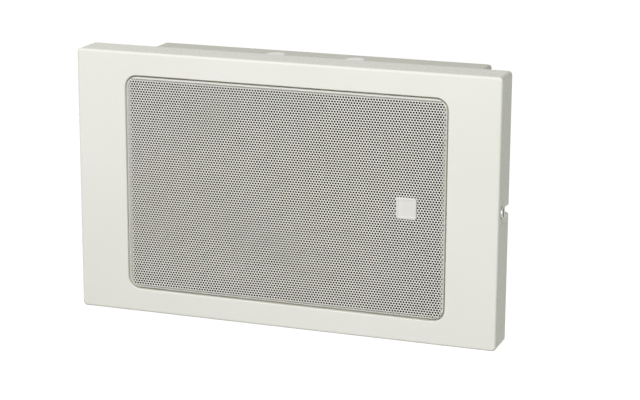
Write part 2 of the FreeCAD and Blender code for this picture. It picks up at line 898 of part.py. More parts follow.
def terminal_block():
    """Moulded block with a lug at each end, screw pockets and wire mouths."""
    x_limits = pair(block_x, block_width)
    front = back_inside - block_height
    body = block(x_limits, (front, back_inside), pair(0.0, block_body))
    lugs = block(x_limits, (back_inside - block_lug_height, back_inside), pair(0.0, block_body + 2 * block_lug))
    cuts = []
    for z in terminal_places():
        cuts.append(rod_y(terminal_pocket_r, front, front + terminal_pocket, block_x, z))
        mouth_start = Vector(block_x, back_inside - lead_height, z)
        cuts.append(rod(wire_mouth_r, mouth_start, mouth_start + Vector(block_width, 0, 0)))
    for side in (-1, 1):
        stud_r = m3_r + screw_clearance
        cuts.append(rod_y(stud_r, back_inside - block_lug_height, back_inside, block_x, side * lug_stud_z))
    return body.fuse(lugs).cut(cuts).removeSplitter()


def terminal_screws():
    """Clamp screws at the bottom of the block's pockets."""
    seat = back_inside - block_height + terminal_pocket
    return Part.makeCompound(
        [rod_y(m3_head_r, seat - m3_head_height, seat, block_x, z) for z in terminal_places()]
    )


def terminal_nuts():
    """Nuts on the block's lugs."""
    return nuts_on_studs(block_x, lug_stud_z, back_inside - block_lug_height)


def driver_leads():
    """Twin lead from the transformer's winding to the driver's solder tags."""
    bend_x = (winding_face_x + tag_outer_x()) / 2
    low_y = (core_front + back_inside) / 2
    high_y = tag_y + tag_sheet / 2
    route = [(winding_face_x, low_y), (bend_x, low_y), (bend_x, high_y), (tag_outer_x(), high_y)]
    return flat_lead([Vector(x, y, 0) for x, y in route])


def input_leads():
    """Twin lead from the terminal block to the transformer's winding, behind the magnet."""
    start_x = block_x - block_width / 2
    end_x = winding_face_x
    high_y = back_inside - lead_height
    route = [
        (start_x, high_y),
        (start_x - lead_bend, high_y),
        ((start_x + end_x) / 2, high_y - lead_sag),
        (end_x + lead_bend, high_y),
        (end_x, high_y),
    ]
    return flat_lead([Vector(x, y, 0) for x, y in route])


PIECES = {
    "front_panel": front_panel,
    "grille": grille,
    "dust_cloth": dust_cloth,
    "badge": badge,
    "back_box": back_box,
    "box_gasket": box_gasket,
    "cable_entry_plugs": cable_entry_plugs,
    "cable_grommet": cable_grommet,
    "side_screws": side_screws,
    "driver_gasket": driver_gasket_ring,
    "driver_basket": driver_basket,
    "cone": cone,
    "cone_surround": cone_surround,
    "dust_cap": dust_cap,
    "voice_coil": voice_coil,
    "spider": spider,
    "top_plate": top_plate,
    "magnet": magnet,
    "yoke": yoke,
    "driver_screws": driver_screws,
    "driver_nuts": driver_nuts,
    "tag_strip": tag_strip,
    "solder_tags": solder_tags,
    "transformer_core": transformer_core,
    "transformer_winding": transformer_winding,
    "transformer_bracket": transformer_bracket,
    "transformer_nuts": transformer_nuts,
    "terminal_block": terminal_block,
    "terminal_screws": terminal_screws,
    "terminal_nuts": terminal_nuts,
    "driver_leads": driver_leads,
    "input_leads": input_leads,
}

os.makedirs("parts", exist_ok=True)
for node, make in PIECES.items():
    make().exportStep("parts/" + node + ".step")
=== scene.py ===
"""Dresses the wall loudspeaker: an off-white moulded panel over a folded steel box.

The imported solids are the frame. The perforated grille, the cloth behind it, the badge plate,
the side screws and the cable entry plugs are made here. Every other piece keeps its solid and
gets a finish. Lengths are metres in the row frame: +Y points to the wall and +Z points up.
"""
from __future__ import annotations

import logging
import math
from abc import ABC, abstractmethod
from dataclasses import dataclass, field
from enum import Enum
from typing import ClassVar, Mapping, Optional, Sequence, Union

import bmesh
import bpy
from mathutils import Matrix, Vector


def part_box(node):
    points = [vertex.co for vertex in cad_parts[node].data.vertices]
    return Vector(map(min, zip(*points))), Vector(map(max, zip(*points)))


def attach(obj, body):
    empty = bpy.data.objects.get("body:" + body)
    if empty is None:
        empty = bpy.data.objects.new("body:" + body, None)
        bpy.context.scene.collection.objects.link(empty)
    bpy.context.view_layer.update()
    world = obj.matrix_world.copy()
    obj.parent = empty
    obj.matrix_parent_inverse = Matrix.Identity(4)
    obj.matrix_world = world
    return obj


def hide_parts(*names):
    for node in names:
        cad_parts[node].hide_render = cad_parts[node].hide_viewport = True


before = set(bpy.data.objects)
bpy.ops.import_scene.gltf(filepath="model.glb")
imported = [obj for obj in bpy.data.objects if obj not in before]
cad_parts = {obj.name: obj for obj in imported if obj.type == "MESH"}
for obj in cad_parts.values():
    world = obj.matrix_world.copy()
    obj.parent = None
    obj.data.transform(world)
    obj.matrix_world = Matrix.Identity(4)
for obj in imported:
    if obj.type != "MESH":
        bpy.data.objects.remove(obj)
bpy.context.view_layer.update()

LOG = logging.getLogger("loudspeaker")
MM = 0.001
IMAGE_WIDTH = 640
HEX_SIDES = 6
HOLE_POINTS = 2 * HEX_SIDES
TINY = 1e-9

Colour = tuple[float, float, float, float]
Operand = Union[float, int, "Wire"]


def tone(red: int, green: int, blue: int) -> Colour:
    """Gives the linear colour of a screen tone.

    Args:
        red: The red level, from 0 to 255.
        green: The green level, from 0 to 255.
        blue: The blue level, from 0 to 255.

    Returns:
        The colour as a shader socket takes it.
    """
    levels = [level / 255 for level in (red, green, blue)]
    lit = [v / 12.92 if v <= 0.04045 else ((v + 0.055) / 1.055) ** 2.4 for v in levels]
    return (lit[0], lit[1], lit[2], 1.0)


class Wire:
    """An output socket whose arithmetic adds Math nodes to its tree."""

    def __init__(self, graph: NodeGraph, socket: bpy.types.NodeSocket) -> None:
        """Keeps the tree and the socket."""
        self.graph = graph
        self.socket = socket

    def maths(self, operation: str, *operands: Operand) -> Wire:
        """Adds one Math node.

        Args:
            operation: The node's operation.
            operands: The values or wires of its sockets, in order.

        Returns:
            The node's result.
        """
        return self.graph.add("ShaderNodeMath", {"operation": operation}, dict(enumerate(operands)))

    def __add__(self, other: Operand) -> Wire:
        """Adds the other value."""
        return self.maths("ADD", self, other)

    def __radd__(self, other: Operand) -> Wire:
        """Adds this to the other value."""
        return self.maths("ADD", other, self)

    def __sub__(self, other: Operand) -> Wire:
        """Takes the other value away."""
        return self.maths("SUBTRACT", self, other)

    def __rsub__(self, other: Operand) -> Wire:
        """Takes this away from the other value."""
        return self.maths("SUBTRACT", other, self)

    def __mul__(self, other: Operand) -> Wire:
        """Multiplies by the other value."""
        return self.maths("MULTIPLY", self, other)

    def __rmul__(self, other: Operand) -> Wire:
        """Multiplies the other value by this."""
        return self.maths("MULTIPLY", other, self)

    def __truediv__(self, other: Operand) -> Wire:
        """Divides by the other value."""
        return self.maths("DIVIDE", self, other)

    def __rtruediv__(self, other: Operand) -> Wire:
        """Divides the other value by this."""
        return self.maths("DIVIDE", other, self)

    def __mod__(self, other: Operand) -> Wire:
        """Gives the remainder, never below zero."""
        return self.maths("FLOORED_MODULO", self, other)

    def __gt__(self, other: Operand) -> Wire:
        """Gives 1 where this is above the other value."""
        return self.maths("GREATER_THAN", self, other)

    def __lt__(self, other: Operand) -> Wire:
        """Gives 1 where this is below the other value."""
        return self.maths("LESS_THAN", self, other)

    def __abs__(self) -> Wire:
        """Drops the sign."""
        return self.maths("ABSOLUTE", self)

    def at_least(self, other: Operand) -> Wire:
        """Gives the greater of the two."""
        return self.maths("MAXIMUM", self, other)

    def at_most(self, other: Operand) -> Wire:
        """Gives the lesser of the two."""
        return self.maths("MINIMUM", self, other)

    def split(self) -> tuple[Wire, Wire, Wire]:
        """Gives the three parts of a vector."""
        first = self.graph.add("ShaderNodeSeparateXYZ", sockets={0: self})
        parts = [Wire(self.graph, socket) for socket in first.socket.node.outputs]
        return parts[0], parts[1], parts[2]


class NodeGraph:
    """A shader or geometry tree under construction."""

    def __init__(self, tree: bpy.types.NodeTree) -> None:
        """Keeps the tree that the nodes go into."""
        self.tree = tree

    def add(
        self,
        kind: str,
        settings: Optional[Mapping[str, object]] = None,
        sockets: Optional[Mapping[Union[int, str], object]] = None,
        output: Union[int, str] = 0,
    ) -> Wire:
        """Adds one node.

        Args:
            kind: The node's type.
            settings: Its properties, which are set first.
            sockets: The value, wire or list of wires of each input.
            output: Which output to return.

        Returns:
            That output as a wire.
        """
        node = self.tree.nodes.new(kind)
        for name, value in (settings or {}).items():
            setattr(node, name, value)
        for key, value in (sockets or {}).items():
            self.feed(node.inputs[key], value)
        return Wire(self, node.outputs[output])

    def feed(self, socket: bpy.types.NodeSocket, value: object) -> None:
        """Links or sets one input.

        Args:
            socket: The input.
            value: A wire, a list of wires for a socket that takes several, or a plain value.
        """
        if isinstance(value, Wire):
            self.tree.links.new(value.socket, socket)
        elif isinstance(value, list):
            for one in value:
                self.tree.links.new(one.socket, socket)
        else:
            socket.default_value = value

    def vector(self, x: Operand, y: Operand, z: Operand) -> Wire:
        """Puts three values together as a vector."""
        return self.add("ShaderNodeCombineXYZ", sockets={0: x, 1: y, 2: z})


class Paint(NodeGraph):
    """The shader tree of one material."""

    def __init__(self, name: str) -> None:
        """Makes an empty material of that name."""
        self.material = bpy.data.materials.new(name)
        self.material.use_nodes = True
        self.material.node_tree.nodes.clear()
        super().__init__(self.material.node_tree)

    def place(self, stretch: Sequence[float] = (1.0, 1.0, 1.0)) -> Wire:
        """Gives the object coordinates.

        Args:
            stretch: The scale of each axis.

        Returns:
            The stretched coordinates.
        """
        here = self.add("ShaderNodeTexCoord", output="Object")
        if tuple(stretch) == (1.0, 1.0, 1.0):
            return here
        return self.add("ShaderNodeMapping", sockets={"Vector": here, "Scale": tuple(stretch)})

    def noise(self, where: Wire, per_metre: float, detail: float = 2.0) -> Wire:
        """Gives a smooth noise.

        Args:
            where: The coordinates.
            per_metre: How many lumps there are to a metre.
            detail: How much finer noise is laid over it.

        Returns:
            The noise, about 0 to 1.
        """
        sockets = {"Vector": where, "Scale": per_metre, "Detail": detail}
        return self.add("ShaderNodeTexNoise", sockets=sockets, output="Fac")

    def mix(self, factor: Operand, first: object, second: object) -> Wire:
        """Mixes two colours.

        Args:
            factor: How much of the second there is.
            first: A colour or a colour wire.
            second: A colour or a colour wire.

        Returns:
            The mixed colour.
        """
        settings = {"data_type": "RGBA", "clamp_factor": True}
        return self.add("ShaderNodeMix", settings, {0: factor, 6: first, 7: second}, output=2)

    def bump(self, height: Wire, depth: float) -> Wire:
        """Turns a height into a normal.

        Args:
            height: The height, about 0 to 1.
            depth: How deep a height of 1 is, in metres.

        Returns:
            The normal.
        """
        sockets = {"Height": height, "Distance": depth, "Strength": 1.0}
        return self.add("ShaderNodeBump", sockets=sockets)

    def surface(self, **sockets: object) -> bpy.types.Material:
        """Ends the material in one Principled shader.

        Args:
            sockets: The shader's inputs, with underscores for the spaces in their names.

        Returns:
            The finished material.
        """
        named = {key.replace("_", " "): value for key, value in sockets.items()}
        shader = self.add("ShaderNodeBsdfPrincipled", sockets=named)
        self.add_output(shader)
        return self.material

    def add_output(self, shader: Wire) -> None:
        """Links a shader to the material's output."""
        end = self.tree.nodes.new("ShaderNodeOutputMaterial")
        self.tree.links.new(shader.socket, end.inputs["Surface"])


class Finish(ABC):
    """A surface finish that any number of pieces can take."""

    @abstractmethod
    def material(self, name: str) -> bpy.types.Material:
        """Makes the finish as a material of that name."""


@dataclass(frozen=True)
class Grained(Finish):
    """Plastic, paint, rubber, ceramic, foam or paper: a cloudy tone and a fine grain.

    Attributes:
        light: The main tone.
        dark: The tone that the clouds drift to.
        roughness: The middle roughness.
        spread: How far the roughness wanders each way.
        clouds: Clouds to a metre.
        grain: Grains to a metre.
        depth: How deep the grain is, in metres.
        specks: How much of the grain shows in the tone.
        gloss: The shader's specular level.
        stretch: How the grain is drawn out along each axis.
    """

    CLOUD_FLOOR: ClassVar[float] = 0.3
    CLOUD_GAIN: ClassVar[float] = 2.5
    GRAIN_DETAIL: ClassVar[float] = 3.0

    light: Colour
    dark: Colour
    roughness: float = 0.5
    spread: float = 0.06
    clouds: float = 14.0
    grain: float = 1800.0
    depth: float = 0.00003
    specks: float = 0.15
    gloss: float = 0.5
    stretch: tuple[float, float, float] = (1.0, 1.0, 1.0)

    def material(self, name: str) -> bpy.types.Material:
        """Makes the finish as a material of that name."""
        paint = Paint(name)
        cloud = paint.noise(paint.place(), self.clouds)
        grain = paint.noise(paint.place(self.stretch), self.grain, self.GRAIN_DETAIL)
        shade = cloud * (1 - self.specks) + grain * self.specks
        drift = (shade - self.CLOUD_FLOOR) * self.CLOUD_GAIN
        return paint.surface(
            Base_Color=paint.mix(drift, self.light, self.dark),
            Roughness=self.roughness + (grain - 0.5) * (2 * self.spread),
            Specular_IOR_Level=self.gloss,
            Normal=paint.bump(grain, self.depth),
        )


@dataclass(frozen=True)
class Brushed(Finish):
    """Bare or plated metal with rolling marks along one axis.

    Attributes:
        light: The tone of the bright marks.
        dark: The tone of the dull marks.
        roughness: The middle roughness.
        spread: How far the roughness wanders each way.
        stretch: How dense the marks are along each axis.
        marks: Marks to a metre across their run.
        depth: How deep the marks are, in metres.
    """

    PATCHES: ClassVar[float] = 90.0
    MARK_SHARE: ClassVar[float] = 0.6

    light: Colour
    dark: Colour
    roughness: float = 0.35
    spread: float = 0.1
    stretch: tuple[float, float, float] = (1.0, 1.0, 0.05)
    marks: float = 2600.0
    depth: float = 0.00001

    def material(self, name: str) -> bpy.types.Material:
        """Makes the finish as a material of that name."""
        paint = Paint(name)
        marks = paint.noise(paint.place(self.stretch), self.marks)
        dull = paint.noise(paint.place(), self.PATCHES)
        shade = marks * self.MARK_SHARE + dull * (1 - self.MARK_SHARE)
        return paint.surface(
            Base_Color=paint.mix(shade, self.light, self.dark),
            Metallic=1.0,
            Roughness=self.roughness + (dull - 0.5) * (2 * self.spread),
            Normal=paint.bump(marks, self.depth),
        )


@dataclass(frozen=True)
class Woven(Finish):
    """Plain-weave cloth whose threads run along X and Z.

    Attributes:
        thread: The tone of a thread's crown.
        gap: The painted shade in the hollows between the threads.
        pitch: The distance from thread to thread.
        depth: How far a thread stands up.
        roughness: The roughness of the yarn.
    """

    FUZZ: ClassVar[float] = 5200.0
    FUZZ_SHARE: ClassVar[float] = 0.4
    FUZZ_ROUGHNESS: ClassVar[float] = 0.1
    GLOSS: ClassVar[float] = 0.2

    thread: Colour
    gap: Colour
    pitch: float = 0.0004
    depth: float = 0.00012
    roughness: float = 0.85

    def material(self, name: str) -> bpy.types.Material:
        """Makes the finish as a material of that name."""
        paint = Paint(name)
        across, _, up = paint.place().split()
        warp = across / self.pitch
        weft = up / self.pitch
        over = (warp.maths("FLOOR", warp) + weft.maths("FLOOR", weft)) % 2.0
        warp_crown = abs(warp.maths("SINE", warp * math.pi))
        weft_crown = abs(weft.maths("SINE", weft * math.pi))
        height = over * warp_crown + (1 - over) * weft_crown
        fuzz = paint.noise(paint.place(), self.FUZZ)
        shade = height * ((1 - self.FUZZ_SHARE) + self.FUZZ_SHARE * fuzz)
        # The tone darkens from a thread's crown to the hollow beside it: painted shade, laid on top of the
        # bump.
        return paint.surface(
            Base_Color=paint.mix(shade, self.gap, self.thread),
            Roughness=self.roughness + (fuzz - 0.5) * self.FUZZ_ROUGHNESS,
            Specular_IOR_Level=self.GLOSS,
            Normal=paint.bump(height, self.depth),
        )


class Axis(Enum):
    """The axis that stripes are counted along."""

    X = 0
    Y = 1
    Z = 2


@dataclass(frozen=True)
class Striped(Finish):
    """Stacked sheets, wound tape or wound wire: even stripes along one axis, darker towards each line
    between them.

    Attributes:
        light: The tone of a stripe's crown.
        dark: The tone at the line between two stripes: partly the joint's own dark, partly painted shade
            in its groove.
        axis: The axis the stripes are counted along.
        pitch: The distance from stripe to stripe.
        metal: The shader's metallic level.
        roughness: The middle roughness.
        depth: How deep the lines are.
    """

    CLOUDS: ClassVar[float] = 160.0
    CROWN_SHARE: ClassVar[float] = 0.8
    CLOUD_SHARE: ClassVar[float] = 0.4
    CLOUD_ROUGHNESS: ClassVar[float] = 0.2

    light: Colour
    dark: Colour
    axis: Axis
    pitch: float
    metal: float = 0.0
    roughness: float = 0.45
    depth: float = 0.00008

    def material(self, name: str) -> bpy.types.Material:
        """Makes the finish as a material of that name."""
        paint = Paint(name)
        along = paint.place().split()[self.axis.value]
        crown = abs(along.maths("SINE", along * (math.pi / self.pitch)))
        cloud = paint.noise(paint.place(), self.CLOUDS)
        shade = crown * self.CROWN_SHARE + cloud * self.CLOUD_SHARE
        # The tone darkens from each crown to the line between stripes: painted shade in the groove, along
        # with the bump.
        return paint.surface(
            Base_Color=paint.mix(shade, self.dark, self.light),
            Metallic=self.metal,
            Roughness=self.roughness + (cloud - 0.5) * self.CLOUD_ROUGHNESS,
            Normal=paint.bump(crown, self.depth),
        )


FINISHES: dict[str, Finish] = {
    "panel_plastic": Grained(
        light=tone(232, 231, 222),
        dark=tone(229, 228, 218),
        roughness=0.27,
        spread=0.03,
        clouds=9.0,
        grain=1500.0,
        depth=0.000003,
        specks=0.05,
        gloss=0.09,
    ),
    "box_paint": Grained(
        light=tone(207, 206, 194),
        dark=tone(203, 202, 190),
        roughness=0.4,
        spread=0.06,
        clouds=11.0,
        grain=900.0,
        depth=0.00002,
        specks=0.1,
        gloss=0.3,
    ),
    "grille_paint": Grained(
        light=tone(238, 237, 228),
        dark=tone(235, 234, 224),
        roughness=0.45,
        spread=0.05,
        clouds=12.0,
        grain=1500.0,
        depth=0.00001,
        specks=0.1,
        gloss=0.25,
    ),
    # In each cloth, the gap tone is painted shade between the threads.
    "black_cloth": Woven(thread=tone(28, 27, 24), gap=tone(9, 9, 8)),
    "badge_plastic": Grained(
        light=tone(224, 223, 216),
        dark=tone(219, 218, 210),
        roughness=0.35,
        spread=0.04,
        clouds=60.0,
        grain=2600.0,
        depth=0.00001,
        specks=0.1,
    ),
    "gasket_foam": Grained(
        light=tone(46, 46, 45),
        dark=tone(24, 24, 24),
        roughness=0.9,
        spread=0.05,
        clouds=120.0,
        grain=2400.0,
        depth=0.0003,
        specks=0.6,
        gloss=0.2,
    ),
    "plug_plastic": Grained(
        light=tone(242, 241, 233),
        dark=tone(238, 237, 228),
        roughness=0.14,
        spread=0.03,
        clouds=40.0,
        grain=2000.0,
        depth=0.00001,
        specks=0.05,
    ),
    "black_rubber": Grained(
        light=tone(38, 37, 36),
        dark=tone(26, 26, 25),
        roughness=0.62,
        spread=0.08,
        clouds=60.0,
        grain=2600.0,
        depth=0.00004,
        specks=0.3,
        gloss=0.35,
    ),
    "zinc_steel": Brushed(light=tone(206, 205, 200), dark=tone(160, 160, 158), roughness=0.32),
    # The screw slot's near-black matt tone, with no gloss, is painted shade in the recess and not the
    # screw's own colour.
    "slot_shade": Grained(
        light=tone(30, 29, 28),
        dark=tone(22, 22, 21),
        roughness=0.9,
        spread=0.03,
        clouds=40.0,
        grain=2000.0,
        depth=0.00001,
        specks=0.05,
        gloss=0.0,
    ),
    "basket_steel": Brushed(
        light=tone(176, 176, 172),
        dark=tone(132, 132, 130),
        roughness=0.4,
        spread=0.1,
        stretch=(0.1, 1.0, 1.0),
    ),
    "cone_paper": Grained(
        light=tone(58, 56, 53),
        dark=tone(32, 31, 30),
        roughness=0.88,
        spread=0.06,
        clouds=70.0,
        grain=900.0,
        depth=0.0001,
        specks=0.6,
        gloss=0.25,
        stretch=(1.0, 0.4, 1.0),
    ),
    # The gap tones of these cloths are painted shade between the threads.
    "surround_cloth": Woven(thread=tone(52, 50, 47), gap=tone(20, 19, 18), pitch=0.0006),
    "spider_cloth": Woven(thread=tone(196, 150, 84), gap=tone(124, 86, 42), pitch=0.0006),
    # The dark tone of these windings is partly painted shade in the grooves between the wires.
    "coil_wire": Striped(
        light=tone(196, 112, 62),
        dark=tone(96, 50, 24),
        axis=Axis.Y,
        pitch=0.00018,
        metal=1.0,
        roughness=0.35,
        depth=0.00004,
    ),
    "ferrite": Grained(
        light=tone(58, 58, 60),
        dark=tone(38, 38, 40),
        roughness=0.7,
        spread=0.1,
        clouds=80.0,
        grain=1400.0,
        depth=0.00006,
        specks=0.5,
        gloss=0.4,
    ),
    "pole_steel": Brushed(
        light=tone(196, 194, 182),
        dark=tone(150, 148, 138),
        roughness=0.36,
        spread=0.1,
        stretch=(0.08, 1.0, 1.0),
    ),
    "board_brown": Grained(
        light=tone(136, 92, 52),
        dark=tone(104, 66, 34),
        roughness=0.5,
        spread=0.06,
        clouds=60.0,
        grain=900.0,
        depth=0.00002,
        specks=0.5,
        gloss=0.45,
        stretch=(0.1, 1.0, 1.0),
    ),
    "tag_brass": Brushed(light=tone(206, 176, 104), dark=tone(160, 130, 70), roughness=0.32),
    # For the core and the tape, the dark tone is partly the joints' own dark and partly painted shade
    # between the stripes.
    "core_steel": Striped(
        light=tone(132, 134, 140),
        dark=tone(52, 52, 54),
        axis=Axis.Y,
        pitch=0.0005,
        metal=0.8,
        roughness=0.5,
    ),
    "winding_tape": Striped(
        light=tone(214, 176, 72),
        dark=tone(168, 130, 44),
        axis=Axis.Z,
        pitch=0.003,
        metal=0.0,
        roughness=0.4,
        depth=0.00006,
    ),
    "terminal_plastic": Grained(
        light=tone(226, 224, 214),
        dark=tone(214, 212, 200),
        roughness=0.42,
        spread=0.05,
        clouds=60.0,
        grain=2000.0,
    ),
    "lead_sheath": Grained(
        light=tone(56, 55, 54),
        dark=tone(40, 39, 38),
        roughness=0.5,
        spread=0.06,
        clouds=60.0,
        grain=1600.0,
        depth=0.00002,
        specks=0.3,
        gloss=0.4,
    ),
}


class FinishShelf:
    """Makes each finish once and hands out the same material after that."""

    def __init__(self) -> None:
        """Starts with nothing made."""
        self._made: dict[str, bpy.types.Material] = {}

    def take(self, slot: str) -> bpy.types.Material:
        """Gives the material of a finish.

        Args:
            slot: The slot's or the finish's name.

        Returns:
            Its material, made on first use.
        """
        if slot not in self._made:
            self._made[slot] = FINISHES[slot].material(slot + "_finish")
        return self._made[slot]


SHELF = FinishShelf()


class Facing(Enum):
    """Which way a shape that is drawn flat and grows up along Z is turned."""

    UP = ("Z", 0.0)
    FRONT = ("X", math.pi / 2)
    RIGHT = ("Y", math.pi / 2)

    def turn(self) -> Matrix:
        """Gives the turn as a matrix."""
        axis, angle = self.value
        return Matrix.Rotation(angle, 4, axis)


Loop = list[Vector]


def rounded_loop(half_x: float, half_y: float, corner: float, height: float, steps: int = 8) -> Loop:
    """Draws a rounded rectangle, counterclockwise seen from above.

    Args:
        half_x: Half its width.
        half_y: Half its length.
        corner: Its corner radius.
        height: Its height along Z.
        steps: The steps round each corner.

    Returns:
        Its points.
    """
    points = []
    for quarter in range(4):
        side_x = 1 if quarter in (0, 3) else -1
        side_y = 1 if quarter in (0, 1) else -1
        centre = Vector((side_x * (half_x - corner), side_y * (half_y - corner), height))
        for step in range(steps + 1):
            angle = (quarter + step / steps) * math.pi / 2
            points.append(centre + corner * Vector((math.cos(angle), math.sin(angle), 0.0)))
    return points


def round_loop(radius: float, height: float, steps: int = 48) -> Loop:
    """Draws a circle, counterclockwise seen from above.

    Args:
        radius: Its radius.
        height: Its height along Z.
        steps: Its number of points.

    Returns:
        Its points.
    """
    angles = [2 * math.pi * step / steps for step in range(steps)]
    return [Vector((radius * math.cos(a), radius * math.sin(a), height)) for a in angles]


class Skin:
    """A mesh grown as bands between loops, from the outside and back to the middle and front."""

    def __init__(self, facing: Facing) -> None:
        """Starts an empty skin that will be turned that way."""
        self.facing = facing
        self.work = bmesh.new()

    def ring(self, points: Loop) -> list[bmesh.types.BMVert]:
        """Adds the points of one loop."""
        return [self.work.verts.new(point) for point in points]

    def band(self, outer: list[bmesh.types.BMVert], inner: list[bmesh.types.BMVert]) -> None:
        """Adds the faces between two loops of as many points."""
        count = len(outer)
        for i in range(count):
            j = (i + 1) % count
            self.work.faces.new((outer[i], outer[j], inner[j], inner[i]))

    def bands(self, loops: Sequence[Loop], closed: bool = False) -> list[list[bmesh.types.BMVert]]:
        """Adds loops and the bands between them.

        Args:
            loops: The loops, outside and back first.
            closed: True if the last loop joins the first.

        Returns:
            The loops as vertices.
        """
        rings = [self.ring(loop) for loop in loops]
        for outer, inner in zip(rings, rings[1:]):
            self.band(outer, inner)
        if closed:
            self.band(rings[-1], rings[0])
        return rings

    def cap(self, ring: list[bmesh.types.BMVert]) -> None:
        """Closes a loop with one face."""
        self.work.faces.new(ring)

    def span(self, outer: list[bmesh.types.BMVert], inner: list[bmesh.types.BMVert]) -> None:
        """Fills the flat between two loops that need not have as many points.

        Args:
            outer: The outer loop.
            inner: The hole in it.
        """
        edges = []
        for ring in (outer, inner):
            for i, vert in enumerate(ring):
                ends = (vert, ring[(i + 1) % len(ring)])
                edges.append(self.work.edges.get(ends) or self.work.edges.new(ends))
        bmesh.ops.triangle_fill(self.work, edges=edges, use_beauty=True, normal=(0.0, 0.0, 1.0))

    def mesh(self, name: str, sharp_degrees: float = 40.0) -> bpy.types.Mesh:
        """Ends the skin.

        Args:
            name: The mesh's name.
            sharp_degrees: Edges that turn more than this stay sharp.

        Returns:
            The turned mesh.
        """
        self.work.normal_update()
        for edge in self.work.edges:
            edge.smooth = edge.calc_face_angle(0.0) < math.radians(sharp_degrees)
        for face in self.work.faces:
            face.smooth = True
        mesh = bpy.data.meshes.new(name)
        self.work.to_mesh(mesh)
        self.work.free()
        mesh.transform(self.facing.turn())
        return mesh


def new_object(name: str, mesh: bpy.types.Mesh) -> bpy.types.Object:
    """Puts a mesh in the scene.

    Args:
        name: The object's name.
        mesh: The mesh, already in place.

    Returns:
        The object.
    """
    made = bpy.data.objects.new(name, mesh)
    bpy.context.scene.collection.objects.link(made)
    return made


def settle(piece: bpy.types.Object, slot: str, *nodes: str, finish: str = "") -> bpy.types.Object:
    """Gives a finished piece its finish and its body, and hides the nodes it stands for.

    Args:
        piece: The piece, at the origin and with its place in its mesh.
        slot: The record's slot that it belongs to.
        nodes: The CAD nodes it replaces.
        finish: The finish it takes, if that isn't the slot's own.

    Returns:
        The piece.
    """
    piece.data.materials.clear()
    piece.data.materials.append(SHELF.take(finish or slot))
    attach(piece, "housing")
    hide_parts(*nodes)
    return piece


class GrowthTree(NodeGraph):
    """A Geometry Nodes tree with named inputs and one finish."""

    SOCKET_KINDS = {float: "NodeSocketFloat", int: "NodeSocketInt", Vector: "NodeSocketVector"}

    def __init__(self, name: str, values: Mapping[str, object]) -> None:
        """Makes the tree and its inputs.

        Args:
            name: The tree's name.
            values: The value of each named input.
        """
        super().__init__(bpy.data.node_groups.new(name, "GeometryNodeTree"))
        self.values = dict(values)
        face = self.tree.interface
        face.new_socket("Geometry", in_out="OUTPUT", socket_type="NodeSocketGeometry")
        for label, value in self.values.items():
            face.new_socket(label, in_out="INPUT", socket_type=self.kind_of(value))
        self._inputs = self.tree.nodes.new("NodeGroupInput")

    def kind_of(self, value: object) -> str:
        """Gives the socket type that carries a value."""
        if isinstance(value, bpy.types.Object):
            return "NodeSocketObject"
        if isinstance(value, bpy.types.Material):
            return "NodeSocketMaterial"
        return self.SOCKET_KINDS[type(value)]

    def value(self, label: str) -> Wire:
        """Gives a named input as a wire."""
        return Wire(self, self._inputs.outputs[label])

    def shape(self, label: str) -> Wire:
        """Gives the mesh of a named object input."""
        return self.add("GeometryNodeObjectInfo", sockets={"Object": self.value(label)}, output="Geometry")

    def finish(self, geometry: Wire) -> None:
        """Realizes the instances, sets the finish and ends the tree."""
        real = self.add("GeometryNodeRealizeInstances", sockets={"Geometry": geometry})
        sockets = {"Geometry": real, "Material": self.value("Finish")}
        dressed = self.add("GeometryNodeSetMaterial", sockets=sockets)
        end = self.tree.nodes.new("NodeGroupOutput")
        self.tree.links.new(dressed.socket, end.inputs["Geometry"])

    def grow(self, name: str) -> bpy.types.Object:
        """Runs the tree once and keeps its result as a plain mesh.

        Args:
            name: The object's name.

        Returns:
            The object, with no modifier left on it.
        """
        piece = new_object(name, bpy.data.meshes.new(name + "_seed"))
        modifier = piece.modifiers.new("growth", "NODES")
        modifier.node_group = self.tree
        for item in self.tree.interface.items_tree:
            if item.in_out == "INPUT":
                modifier[item.identifier] = self.values[item.name]
        graph = bpy.context.evaluated_depsgraph_get()
        mesh = bpy.data.meshes.new_from_object(piece.evaluated_get(graph), depsgraph=graph)
        piece.modifiers.remove(modifier)
        piece.data = mesh
        mesh.name = name
        return piece


class RowTree(GrowthTree):
    """Sets copies of one shape in a row, each turned a little further about Z."""

    def __init__(
        self,
        name: str,
        shape: bpy.types.Object,
        start: Vector,
        step: Vector,
        count: int,
        turn: float,
        finish: bpy.types.Material,
    ) -> None:
        """Builds the tree.

        Args:
            name: The tree's name.
            shape: The object that is copied.
            start: Where the first copy stands.
            step: From one copy to the next.
            count: How many copies there are.
            turn: The turn from one copy to the next, in radians.
            finish: The material of all copies.
        """
        values = {
            "Shape": shape,
            "Start": start,
            "Step": step,
            "Count": count,
            "Turn": turn,
            "Finish": finish,
        }
        super().__init__(name, values)
        sockets = {
            "Count": self.value("Count"),
            "Start Location": self.value("Start"),
            "Offset": self.value("Step"),
        }
        row = self.add("GeometryNodeMeshLine", {"mode": "OFFSET"}, sockets)
        angle = self.add("GeometryNodeInputIndex") * self.value("Turn")
        turned = self.vector(0.0, 0.0, angle)
        spread = {"Points": row, "Instance": self.shape("Shape"), "Rotation": turned}
        self.finish(self.add("GeometryNodeInstanceOnPoints", sockets=spread))


def set_pair(
    name: str, mesh: bpy.types.Mesh, start: Vector, step: Vector, turn: float, finish: str
) -> bpy.types.Object:
    """Sets two copies of a shape as one piece.

    Args:
        name: The piece's name.
        mesh: The shape.
        start: Where the first copy stands.
        step: From the first copy to the second.
        turn: The turn from the first copy to the second, in radians.
        finish: The finish of both.

    Returns:
        The piece.
    """
    pattern = new_object(mesh.name, mesh)
    tree = RowTree(name + "_row", pattern, start, step, 2, turn, SHELF.take(finish))
    pair = tree.grow(name)
    bpy.data.objects.remove(pattern)
    return pair


